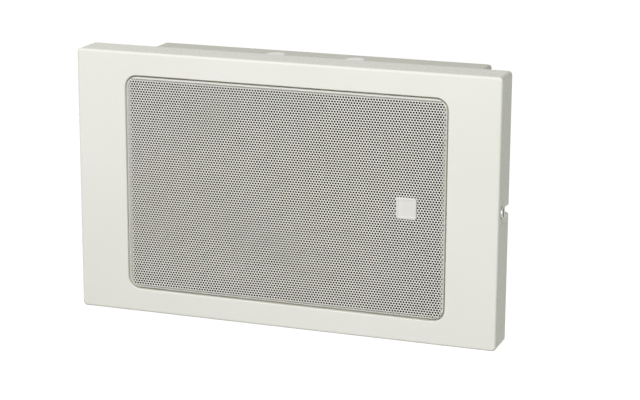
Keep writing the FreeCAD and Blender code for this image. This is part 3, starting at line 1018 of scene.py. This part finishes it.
@dataclass
class GrilleSizes:
    """The grille's sizes, in metres.

    Attributes:
        half_width: Half its outside width.
        half_height: Half its outside height.
        corner: Its outside corner radius.
        roll: The outside radius of its rolled edge.
        sheet: The thickness of its steel.
        front: How far its face stands in front of the wall.
        back: How far its rolled edge reaches back, from the wall.
        pitch: From hole to hole along a row.
        hole: The radius of a hole.
        wall: How deep the wall of a hole is.
        reach: How far onto the roll the hole centres go.
        edge: How far onto the roll the centres of the plain cells go.
        shift: How far right of the opening's middle it sits.
        weld: How near two points of neighbouring cells lie to be joined.
    """

    half_width: float = 117.45 * MM
    half_height: float = 76.95 * MM
    corner: float = 7.8 * MM
    roll: float = 1.4 * MM
    sheet: float = 0.8 * MM
    front: float = 86.0 * MM
    back: float = 81.0 * MM
    pitch: float = 2.0 * MM
    hole: float = 0.795 * MM
    wall: float = 0.25 * MM
    reach: float = 1.65 * MM
    edge: float = 2.9 * MM
    shift: float = -0.65 * MM
    weld: float = 0.02 * MM

    def cell_mesh(self, open_hole: bool) -> bpy.types.Mesh:
        """Makes the hexagon of sheet round one hole centre.

        Args:
            open_hole: True for a cell with its hole and False for a plain one.

        Returns:
            The cell, flat and facing up.
        """
        reach = self.pitch / math.sqrt(3)
        turn = Matrix.Rotation(math.pi / HEX_SIDES, 3, "Z")
        skin = Skin(Facing.UP)
        outer = skin.ring([turn @ point for point in round_loop(reach, 0.0, HEX_SIDES)])
        if not open_hole:
            skin.cap(outer)
            return skin.mesh("plain_cell")
        inner = skin.ring([turn @ point for point in round_loop(self.hole, 0.0, HOLE_POINTS)])
        for i in range(HEX_SIDES):
            j = (i + 1) % HEX_SIDES
            near, middle, far = inner[2 * i], inner[2 * i + 1], inner[2 * j]
            skin.work.faces.new((outer[i], middle, near))
            skin.work.faces.new((outer[i], outer[j], middle))
            skin.work.faces.new((outer[j], far, middle))
        return skin.mesh("open_cell")


class PerforationTree(GrowthTree):
    """What the face and the hole walls share: the staggered lattice and the roll of its edge."""

    def __init__(self, name: str, sizes: GrilleSizes, more: Mapping[str, object]) -> None:
        """Makes the inputs.

        Args:
            name: The tree's name.
            sizes: The grille's sizes.
            more: The inputs of the tree's own.
        """
        row_pitch = sizes.pitch * math.sqrt(0.75)
        values = {
            "Pitch": sizes.pitch,
            "Row Pitch": row_pitch,
            "Columns": 2 * math.ceil(sizes.half_width / sizes.pitch) + 1,
            "Rows": 2 * math.ceil(sizes.half_height / row_pitch),
            "Hole Radius": sizes.hole,
            "Wall": sizes.wall,
            "Flat Half Width": sizes.half_width - sizes.roll,
            "Flat Half Height": sizes.half_height - sizes.roll,
            "Flat Corner": sizes.corner - sizes.roll,
            "Roll": sizes.roll,
            "Front": sizes.front,
            "Reach": sizes.reach,
            "Edge": sizes.edge,
            "Finish": SHELF.take("grille_paint"),
        }
        values.update(more)
        super().__init__(name, values)

    def beyond_flat(self, x: Wire, y: Wire) -> tuple[Wire, Wire, Wire]:
        """Measures from the edge of the grille's flat.

        Args:
            x: Across the grille.
            y: Up the grille.

        Returns:
            The distance past the edge, and the two parts of the way out.
        """
        corner = self.value("Flat Corner")
        over_x = abs(x) - (self.value("Flat Half Width") - corner)
        over_y = abs(y) - (self.value("Flat Half Height") - corner)
        out_x = over_x.at_least(0.0)
        out_y = over_y.at_least(0.0)
        out = (out_x * out_x + out_y * out_y).maths("SQRT", out_x * out_x + out_y * out_y)
        distance = out + over_x.at_least(over_y).at_most(0.0) - corner
        length = out.at_least(TINY)
        way_x = out_x / length * x.maths("SIGN", x)
        way_y = out_y / length * y.maths("SIGN", y)
        return distance, way_x, way_y

    def lattice(self) -> Wire:
        """Lays out the cell centres in staggered rows."""
        pitch = self.value("Pitch")
        row_pitch = self.value("Row Pitch")
        columns = self.value("Columns")
        rows = self.value("Rows")
        sockets = {
            "Size X": (columns - 1) * pitch,
            "Size Y": (rows - 1) * row_pitch,
            "Vertices X": columns,
            "Vertices Y": rows,
        }
        grid = self.add("GeometryNodeMeshGrid", sockets=sockets)
        _, y, _ = self.add("GeometryNodeInputPosition").split()
        row = y / row_pitch + (rows - 1) / 2 + 0.5
        stagger = (row.maths("FLOOR", row) % 2.0 - 0.5) * pitch / 2
        sockets = {"Geometry": grid, "Offset": self.vector(stagger, 0.0, 0.0)}
        return self.add("GeometryNodeSetPosition", sockets=sockets)

    def past_flat(self) -> Wire:
        """Gives how far each point lies past the edge of the flat."""
        x, y, _ = self.add("GeometryNodeInputPosition").split()
        return self.beyond_flat(x, y)[0]

    def copies(self, centres: Wire, shape: Wire) -> Wire:
        """Sets real copies of a shape on the centres."""
        spread = self.add("GeometryNodeInstanceOnPoints", sockets={"Points": centres, "Instance": shape})
        return self.add("GeometryNodeRealizeInstances", sockets={"Geometry": spread})

    def drop(self, geometry: Wire, which: Wire) -> Wire:
        """Deletes the points that are marked."""
        sockets = {"Geometry": geometry, "Selection": which}
        return self.add("GeometryNodeDeleteGeometry", {"domain": "POINT"}, sockets)

    def rolled(self, geometry: Wire) -> Wire:
        """Bends what lies past the flat round the roll and back, and turns the sheet to the front.

        Args:
            geometry: The flat sheet, with its front at height zero.

        Returns:
            The sheet in its place, shaded smooth.
        """
        x, y, z = self.add("GeometryNodeInputPosition").split()
        distance, way_x, way_y = self.beyond_flat(x, y)
        roll = self.value("Roll")
        past = distance.at_least(0.0)
        bent = past.at_most(roll * (math.pi / 2))
        angle = bent / roll
        pull = roll * angle.maths("SINE", angle) - past
        fall = roll * (1 - angle.maths("COSINE", angle)) + past - bent
        place = self.vector(x + way_x * pull, y + way_y * pull, z + self.value("Front") - fall)
        bowed = self.add("GeometryNodeSetPosition", sockets={"Geometry": geometry, "Position": place})
        sockets = {"Geometry": bowed, "Rotation": (math.pi / 2, 0.0, 0.0)}
        turned = self.add("GeometryNodeTransform", sockets=sockets)
        return self.add("GeometryNodeSetShadeSmooth", sockets={"Geometry": turned})


class PerforatedFaceTree(PerforationTree):
    """The front skin of the grille: one sheet of open cells with plain cells round it."""

    def __init__(
        self,
        sizes: GrilleSizes,
        open_cell: bpy.types.Object,
        plain_cell: bpy.types.Object,
    ) -> None:
        """Builds the tree.

        Args:
            sizes: The grille's sizes.
            open_cell: The cell with a hole.
            plain_cell: The cell without one.
        """
        super().__init__("perforated_face", sizes, {"Open Cell": open_cell, "Plain Cell": plain_cell})
        centres = self.lattice()
        past = self.past_flat()
        plain = (past > self.value("Reach")) * (past < self.value("Edge"))
        holes = self.drop(centres, past > self.value("Reach"))
        border = self.drop(centres, 1 - plain)
        pierced = self.copies(holes, self.shape("Open Cell"))
        blank = self.copies(border, self.shape("Plain Cell"))
        joined = self.add("GeometryNodeJoinGeometry", sockets={"Geometry": [pierced, blank]})
        sockets = {"Geometry": joined, "Distance": sizes.weld}
        sheet = self.add("GeometryNodeMergeByDistance", sockets=sockets)
        self.finish(self.rolled(sheet))


class HoleWallTree(PerforationTree):
    """The walls of the holes on one side of the grille's middle."""

    def __init__(self, sizes: GrilleSizes, side: float) -> None:
        """Builds the tree.

        Args:
            sizes: The grille's sizes.
            side: 1 for the right half and -1 for the left.
        """
        super().__init__("hole_walls", sizes, {"Side": side})
        depth = self.value("Wall")
        sockets = {"Vertices": HOLE_POINTS, "Radius": self.value("Hole Radius"), "Depth": depth}
        tube = self.add("GeometryNodeMeshCylinder", {"fill_type": "NONE"}, sockets)
        sockets = {"Geometry": tube, "Translation": self.vector(0.0, 0.0, depth / -2)}
        sunk = self.add("GeometryNodeTransform", sockets=sockets)
        inward = self.add("GeometryNodeFlipFaces", sockets={"Mesh": sunk})
        x, _, _ = self.add("GeometryNodeInputPosition").split()
        other_side = x * self.value("Side") < 0.0
        unwanted = other_side.at_least(self.past_flat() > self.value("Reach"))
        centres = self.drop(self.lattice(), unwanted)
        self.finish(self.rolled(self.copies(centres, inward)))


class SubAssembly(ABC):
    """A group of pieces that are made and dressed together."""

    @abstractmethod
    def build(self) -> list[bpy.types.Object]:
        """Makes the pieces and gives them their finish, body and nodes."""


@dataclass
class Grille(SubAssembly):
    """The perforated steel grille with its rolled edge.

    Attributes:
        sizes: The grille's sizes.
        rim_start: The angle on the roll where the plain rim starts, in degrees.
        rim_steps: The steps from there to the roll's end.
        corner_steps: The steps round each corner of the rim.
        lift: How far the rim lies over the cells.
    """

    sizes: GrilleSizes = field(default_factory=GrilleSizes)
    rim_start: float = 86.0
    rim_steps: int = 8
    corner_steps: int = 10
    lift: float = 0.03 * MM

    def build(self) -> list[bpy.types.Object]:
        """Makes the face, the hole walls and the rim."""
        meshes = [self.sizes.cell_mesh(open_hole) for open_hole in (True, False)]
        cells = [new_object(mesh.name, mesh) for mesh in meshes]
        face = PerforatedFaceTree(self.sizes, *cells).grow("grille_face")
        for cell in cells:
            bpy.data.objects.remove(cell)
        left = HoleWallTree(self.sizes, -1.0).grow("grille_holes_left")
        right = HoleWallTree(self.sizes, 1.0).grow("grille_holes_right")
        rim = new_object("grille_rim", self.rim_mesh())
        pieces = (face, left, right, rim)
        for piece in pieces:
            piece.data.transform(Matrix.Translation((self.sizes.shift, 0.0, 0.0)))
        return [settle(piece, "grille_paint", "grille") for piece in pieces]

    def rim_loop(self, radius: float, degrees: float) -> Loop:
        """Draws one loop round the roll.

        Args:
            radius: The radius of the roll's outside or inside.
            degrees: How far round the roll the loop lies.

        Returns:
            Its points.
        """
        angle = math.radians(degrees)
        out = radius * math.sin(angle)
        height = self.sizes.front - self.sizes.roll + radius * math.cos(angle)
        return self.outline(out, height)

    def outline(self, out: float, height: float) -> Loop:
        """Draws a loop that far outside the grille's flat, at that height."""
        flat = self.sizes.roll
        half_x = self.sizes.half_width - flat + out
        half_y = self.sizes.half_height - flat + out
        corner = self.sizes.corner - flat + out
        return rounded_loop(half_x, half_y, corner, height, self.corner_steps)

    def rim_mesh(self) -> bpy.types.Mesh:
        """Makes the plain rim: round the rest of the roll and straight back into the well."""
        outside = self.sizes.roll + self.lift
        inside = self.sizes.roll - self.sizes.sheet
        rest = 90 - self.rim_start
        steps = range(self.rim_steps + 1)
        angles = [self.rim_start + rest * step / self.rim_steps for step in steps]
        loops = [self.outline(outside, self.sizes.back)]
        loops += [self.rim_loop(outside, angle) for angle in reversed(angles)]
        loops += [self.rim_loop(inside, angle) for angle in angles]
        loops += [self.outline(inside, self.sizes.back)]
        skin = Skin(Facing.FRONT)
        skin.bands(loops, closed=True)
        return skin.mesh("grille_rim")


@dataclass
class DustCloth(SubAssembly):
    """The black cloth stretched behind the grille.

    Attributes:
        slack: How far the cloth wanders from its plane.
        waves_x: Radians of its waves to a metre across.
        waves_z: Radians of its waves to a metre up.
        bend: How far the waves across swing from side to side, in radians.
        bend_z: Radians of that swing to a metre up.
        columns: The cells across.
        rows: The cells up.
    """

    slack: float = 0.03 * MM
    waves_x: float = 90.0
    waves_z: float = 75.0
    bend: float = 1.7
    bend_z: float = 60.0
    columns: int = 72
    rows: int = 48

    def build(self) -> list[bpy.types.Object]:
        low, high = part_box("dust_cloth")
        size_x = high[0] - low[0]
        size_z = high[2] - low[2]
        depth = low[1] + 2 * self.slack
        work = bmesh.new()
        bmesh.ops.create_grid(work, x_segments=self.columns, y_segments=self.rows, size=0.5)
        for vert in work.verts:
            x = vert.co.x * size_x
            z = vert.co.y * size_z
            swing = self.bend * math.sin(z * self.bend_z)
            wander = math.sin(x * self.waves_x + swing) * math.cos(z * self.waves_z)
            vert.co = Vector((x, depth + self.slack * wander, z))
        for face in work.faces:
            face.smooth = True
        mesh = bpy.data.meshes.new("grille_cloth")
        work.to_mesh(mesh)
        work.free()
        cloth = settle(new_object("grille_cloth", mesh), "black_cloth", "dust_cloth")
        return [cloth]


@dataclass
class BadgePlate(SubAssembly):
    """The blank plate on the grille's right side, with a raised border.

    Attributes:
        corner: The corner radius.
        bevel: The radius of the front edges.
        border: The width of the raised border.
        sunk: How far the middle lies below the border.
        slope: Shares of that depth, in and down, from the border to the middle.
        least_corner: The smallest corner radius of a loop.
        corner_steps: The steps round each corner.
        bevel_steps: The steps round the front edges.
    """

    corner: float = 1.4 * MM
    bevel: float = 0.45 * MM
    border: float = 1.5 * MM
    sunk: float = 0.45 * MM
    slope: tuple[tuple[float, float], ...] = ((0.0, 0.0), (0.2, 0.2), (0.5, 1.0))
    least_corner: float = 0.2 * MM
    corner_steps: int = 6
    bevel_steps: int = 5

    def build(self) -> list[bpy.types.Object]:
        """Makes the plate where the badge's solid is."""
        low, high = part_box("badge")
        half_x = (high[0] - low[0]) / 2
        half_z = (high[2] - low[2]) / 2
        base = -high[1]
        top = -low[1]
        loops = [self.outline(half_x, half_z, 0.0, base)]
        for step in range(self.bevel_steps + 1):
            angle = step / self.bevel_steps * math.pi / 2
            inset = self.bevel * (1 - math.cos(angle))
            height = top - self.bevel * (1 - math.sin(angle))
            loops.append(self.outline(half_x, half_z, inset, height))
        for inward, down in self.slope:
            inset = self.border + self.sunk * inward
            loops.append(self.outline(half_x, half_z, inset, top - self.sunk * down))
        skin = Skin(Facing.FRONT)
        rings = skin.bands(loops)
        skin.cap(rings[-1])
        skin.cap(list(reversed(rings[0])))
        mesh = skin.mesh("badge_plate")
        middle = Vector(((low[0] + high[0]) / 2, 0.0, (low[2] + high[2]) / 2))
        mesh.transform(Matrix.Translation(middle))
        return [settle(new_object("badge_plate", mesh), "badge_plastic", "badge")]

    def outline(self, half_x: float, half_z: float, inset: float, height: float) -> Loop:
        """Draws a loop that far inside the plate's edge, at that height."""
        corner = max(self.corner - inset, self.least_corner)
        return rounded_loop(half_x - inset, half_z - inset, corner, height, self.corner_steps)


@dataclass
class SideScrews(SubAssembly):
    """The two slotted screws that hold the panel to the box.

    Attributes:
        head: The height of the head.
        rim: The height of the head's straight rim.
        crown: The radius of the head's flat top.
        crown_steps: The steps from the rim to the flat top.
        shank: The shank's radius as a share of the head's.
        shank_length: The length of the shank.
        half_length: Half the length of the slot.
        half_slot: Half the width of the slot.
        slot_corner: The slot's corner radius as a share of half its width.
        recess: The depth of the slot.
    """

    head: float = 2.0 * MM
    rim: float = 0.5 * MM
    crown: float = 3.4 * MM
    crown_steps: int = 6
    shank: float = 0.45
    shank_length: float = 4.0 * MM
    half_length: float = 3.2 * MM
    half_slot: float = 1.0 * MM
    slot_corner: float = 0.3
    recess: float = 1.2 * MM

    def build(self) -> list[bpy.types.Object]:
        """Makes one screw with its slot, lined in painted shade, and sets their copies on the other side.
        """
        low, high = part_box("side_screws")
        radius = (high[2] - low[2]) / 2
        centre = Vector((0.0, (low[1] + high[1]) / 2, (low[2] + high[2]) / 2))
        # The slot lining takes painted shade instead of the zinc of the head.
        parts = (
            ("side_screw_heads", self.screw_mesh(radius, high[0]), "zinc_steel"),
            ("side_screw_slots", self.slot_mesh(high[0]), "slot_shade"),
        )
        pieces = []
        for name, mesh, finish in parts:
            pair = set_pair(name, mesh, centre, Vector(), math.pi, finish)
            pieces.append(settle(pair, "zinc_steel", "side_screws", finish=finish))
        return pieces

    def slot_loop(self, depth: float, top: float) -> Loop:
        """Draws the slot that far below the head's top."""
        corner = self.half_slot * self.slot_corner
        return rounded_loop(self.half_length, self.half_slot, corner, top - depth, 2)

    def slot_mesh(self, top: float) -> bpy.types.Mesh:
        """Makes the walls and the floor of the slot under a head with that top, which take a near-black
        painted shade.
        """
        skin = Skin(Facing.RIGHT)
        rings = skin.bands([self.slot_loop(0.0, top), self.slot_loop(self.recess, top)])
        skin.cap(rings[-1])
        return skin.mesh("side_slot_pattern")

    def screw_mesh(self, radius: float, top: float) -> bpy.types.Mesh:
        """Makes a pan head on a plain shank.

        Args:
            radius: The head's radius.
            top: The height of the head's top.

        Returns:
            The screw, facing right.
        """
        base = top - self.head
        shank = radius * self.shank
        loops = [round_loop(shank, base - self.shank_length), round_loop(shank, base)]
        loops += [round_loop(radius, base), round_loop(radius, base + self.rim)]
        rise = self.head - self.rim
        for step in range(1, self.crown_steps + 1):
            angle = step / self.crown_steps * math.pi / 2
            reach = self.crown + (radius - self.crown) * math.cos(angle)
            loops.append(round_loop(reach, base + self.rim + rise * math.sin(angle)))
        skin = Skin(Facing.RIGHT)
        rings = skin.bands(loops)
        skin.span(rings[-1], skin.ring(self.slot_loop(0.0, top)))
        skin.cap(list(reversed(rings[0])))
        return skin.mesh("side_screw_pattern")


@dataclass
class CablePlugs(SubAssembly):
    """The two snap-in plugs in the cable entries on the box's top.

    Attributes:
        stand: How far the solid's crown stands above the sheet.
        crown: How far the finished crown stands above the sheet.
        slim: The finished head's radius as a share of the solid's.
        lip: The height of the plug's straight lip.
        dish: The radius of the shallow dish in its crown.
        dish_depth: The depth of the dish.
        dish_slope: Shares of the dish's radius and depth, from its edge to its floor.
        neck: The neck's radius as a share of the finished head's.
        crown_steps: The steps from the lip to the dish.
    """

    stand: float = 1.7 * MM
    crown: float = 0.75 * MM
    slim: float = 0.87
    lip: float = 0.15 * MM
    dish: float = 3.0 * MM
    dish_depth: float = 0.1 * MM
    dish_slope: tuple[tuple[float, float], ...] = ((0.9, 0.4), (0.6, 1.0))
    neck: float = 0.84
    crown_steps: int = 8

    def build(self) -> list[bpy.types.Object]:
        """Makes one plug and sets the row of them."""
        low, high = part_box("cable_entry_plugs")
        radius = (high[1] - low[1]) / 2
        sheet_top = high[2] - self.stand
        gap = high[0] - low[0] - 2 * radius
        middle_y = (low[1] + high[1]) / 2
        plug = self.plug_mesh(radius * self.slim, low[2] - sheet_top)
        start = Vector((low[0] + radius, middle_y, sheet_top))
        plugs = set_pair("cable_plugs", plug, start, Vector((gap, 0.0, 0.0)), 0.0, "plug_plastic")
        return [settle(plugs, "plug_plastic", "cable_entry_plugs")]

    def plug_mesh(self, radius: float, foot: float) -> bpy.types.Mesh:
        """Makes a domed head on a round foot.

        Args:
            radius: The head's radius.
            foot: The height of the foot's end, below the sheet.

        Returns:
            The plug, facing up.
        """
        neck = radius * self.neck
        loops = [round_loop(neck, foot), round_loop(neck, 0.0), round_loop(radius, 0.0)]
        loops.append(round_loop(radius, self.lip))
        rise = self.crown - self.lip
        for step in range(1, self.crown_steps + 1):
            angle = step / self.crown_steps * math.pi / 2
            reach = self.dish + (radius - self.dish) * math.cos(angle)
            loops.append(round_loop(reach, self.lip + rise * math.sin(angle)))
        for inward, down in self.dish_slope:
            loops.append(round_loop(self.dish * inward, self.crown - self.dish_depth * down))
        skin = Skin(Facing.UP)
        rings = skin.bands(loops)
        skin.cap(rings[-1])
        skin.cap(list(reversed(rings[0])))
        return skin.mesh("plug_pattern")


@dataclass
class KeptSolids(SubAssembly):
    """The CAD nodes that stay as they are and only take a finish.

    Attributes:
        replaced: The nodes that pieces of the other sub-assemblies stand for.
    """

    replaced: frozenset[str] = frozenset(
        {"grille", "dust_cloth", "badge", "side_screws", "cable_entry_plugs"}
    )

    def build(self) -> list[bpy.types.Object]:
        """Gives every kept node the finish of its own slot."""
        kept = []
        for name, node in sorted(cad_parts.items()):
            for place in node.material_slots:
                place.material = SHELF.take(place.material.name)
            if name not in self.replaced:
                kept.append(node)
        return kept


@dataclass(frozen=True)
class Lamp:
    """One soft square lamp.

    Attributes:
        name: Its name.
        place: Where it stands.
        aim: What it points at.
        size: The side of its square.
        watts: Its power.
        tint: Its colour.
        mirrored: False if it only lights and glossy pieces don't mirror it.
    """

    name: str
    place: tuple[float, float, float]
    aim: tuple[float, float, float]
    size: float
    watts: float
    tint: tuple[float, float, float] = (1.0, 1.0, 1.0)
    mirrored: bool = True

    def light(self) -> bpy.types.Object:
        """Makes the lamp."""
        data = bpy.data.lights.new(self.name, "AREA")
        data.shape = "SQUARE"
        data.size = self.size
        data.energy = self.watts
        data.color = self.tint
        lamp = bpy.data.objects.new(self.name, data)
        lamp.location = self.place
        ahead = Vector(self.aim) - Vector(self.place)
        lamp.rotation_euler = ahead.to_track_quat("-Z", "Y").to_euler()
        lamp.visible_camera = False
        lamp.visible_glossy = self.mirrored
        bpy.context.scene.collection.objects.link(lamp)
        return lamp


@dataclass
class Studio:
    """The floor, the lamps, the white surround and the camera.

    Attributes:
        floor_drop: How far below the row frame's origin the floor lies.
        floor_half: Half the floor's side.
        floor_glow: How much of the white the floor has of itself, as it is seen.
        floor_tone: The floor's own tone, which sends light back up.
        ambient: How strongly the surround lights the object.
        ambient_tint: The tone of that light.
        lamps: The lamps.
        camera_place: Where the camera stands.
        azimuth: How far it stands round to the right, in degrees.
        elevation: How far it looks down, in degrees.
        roll: How far it is turned about its line of sight, in degrees.
        focal_pixels: Its focal length, in pixels of the image.
        sensor: Its sensor's width, in millimetres.
    """

    floor_drop: float = 0.62
    floor_half: float = 14.0
    floor_glow: float = 0.94
    floor_tone: Colour = (0.55, 0.55, 0.55, 1.0)
    ambient: float = 0.168
    ambient_tint: Colour = (0.92, 1.0, 0.7, 1.0)
    lamps: tuple[Lamp, ...] = (
        Lamp("key_lamp", (-0.466, -1.0, 0.862), (0.0, -0.05, 0.0), 0.7, 12.5, (0.952, 0.925, 1.0)),
        Lamp("fill_lamp", (0.666, -1.153, 0.433), (0.0, -0.05, 0.0), 0.7, 9.3, (0.945, 0.955, 1.0)),
        Lamp("rear_lamp", (-0.1, 1.45, 0.1), (0.0, -0.05, 0.0), 0.4, 9.0, mirrored=False),
    )
    camera_place: tuple[float, float, float] = (0.478, -1.358, 0.346)
    azimuth: float = 19.5
    elevation: float = 14.37
    roll: float = 0.29
    focal_pixels: float = 2021.0
    sensor: float = 36.0

    def build(self) -> None:
        """Sets the whole studio up."""
        scene = bpy.context.scene
        scene.view_settings.view_transform = "Standard"
        self.surround(scene)
        self.floor()
        for lamp in self.lamps:
            lamp.light()
        scene.camera = self.camera()

    def seen(self, graph: NodeGraph) -> Wire:
        """Gives 1 for the rays that show the background: to the camera, in gloss and through glass."""
        camera = graph.add("ShaderNodeLightPath", output="Is Camera Ray")
        glossy = graph.add("ShaderNodeLightPath", output="Is Glossy Ray")
        through = graph.add("ShaderNodeLightPath", output="Is Transmission Ray")
        return camera.at_least(glossy).at_least(through)

    def surround(self, scene: bpy.types.Scene) -> None:
        """Makes the white world, which lights the object less than it shows."""
        world = bpy.data.worlds.new("white_surround")
        world.use_nodes = True
        world.node_tree.nodes.clear()
        graph = NodeGraph(world.node_tree)
        sockets = {"Color": self.ambient_tint, "Strength": self.ambient}
        lit = graph.add("ShaderNodeBackground", sockets=sockets)
        white = graph.add("ShaderNodeBackground", sockets={"Color": (1.0, 1.0, 1.0, 1.0)})
        glow = graph.add("ShaderNodeMixShader", sockets={0: self.seen(graph), 1: lit, 2: white})
        end = world.node_tree.nodes.new("ShaderNodeOutputWorld")
        world.node_tree.links.new(glow.socket, end.inputs["Surface"])
        scene.world = world

    def floor(self) -> None:
        """Makes the pale floor, which shows white but keeps the object's shadow."""
        work = bmesh.new()
        bmesh.ops.create_grid(work, x_segments=1, y_segments=1, size=self.floor_half)
        mesh = bpy.data.meshes.new("studio_floor")
        work.to_mesh(mesh)
        work.free()
        mesh.transform(Matrix.Translation((0.0, 0.0, -self.floor_drop)))
        floor = new_object("studio_floor", mesh)
        paint = Paint("floor_white")
        matt = paint.add("ShaderNodeBsdfDiffuse", sockets={"Color": self.floor_tone})
        glow = paint.add("ShaderNodeEmission", sockets={"Strength": self.seen(paint) * self.floor_glow})
        both = paint.add("ShaderNodeAddShader", sockets={0: matt, 1: glow})
        clear = paint.add("ShaderNodeBsdfTransparent")
        under = paint.add("ShaderNodeNewGeometry", output="Backfacing")
        paint.add_output(paint.add("ShaderNodeMixShader", sockets={0: under, 1: both, 2: clear}))
        mesh.materials.append(paint.material)

    def camera(self) -> bpy.types.Object:
        """Makes the camera at the photograph's viewing angle.

        Returns:
            The camera.
        """
        around = math.radians(self.azimuth)
        down = math.radians(self.elevation)
        level = math.cos(down)
        ahead = Vector((-math.sin(around) * level, math.cos(around) * level, -math.sin(down)))
        data = bpy.data.cameras.new("photo_camera")
        data.sensor_width = self.sensor
        data.lens = self.focal_pixels / IMAGE_WIDTH * data.sensor_width
        camera = bpy.data.objects.new("photo_camera", data)
        roll = Matrix.Rotation(math.radians(self.roll), 3, "Z")
        camera.rotation_euler = (ahead.to_track_quat("-Z", "Y").to_matrix() @ roll).to_euler()
        camera.location = self.camera_place
        bpy.context.scene.collection.objects.link(camera)
        return camera


def main() -> None:
    """Builds the sub-assemblies and the studio, and reports each piece."""
    logging.basicConfig(level=logging.INFO, format="%(name)s: %(message)s")
    Studio().build()
    for assembly in (KeptSolids(), Grille(), DustCloth(), BadgePlate(), SideScrews(), CablePlugs()):
        for piece in assembly.build():
            LOG.info("%s: %s with %d faces", type(assembly).__name__, piece.name, len(piece.data.polygons))


if __name__ == "__main__":
    main()
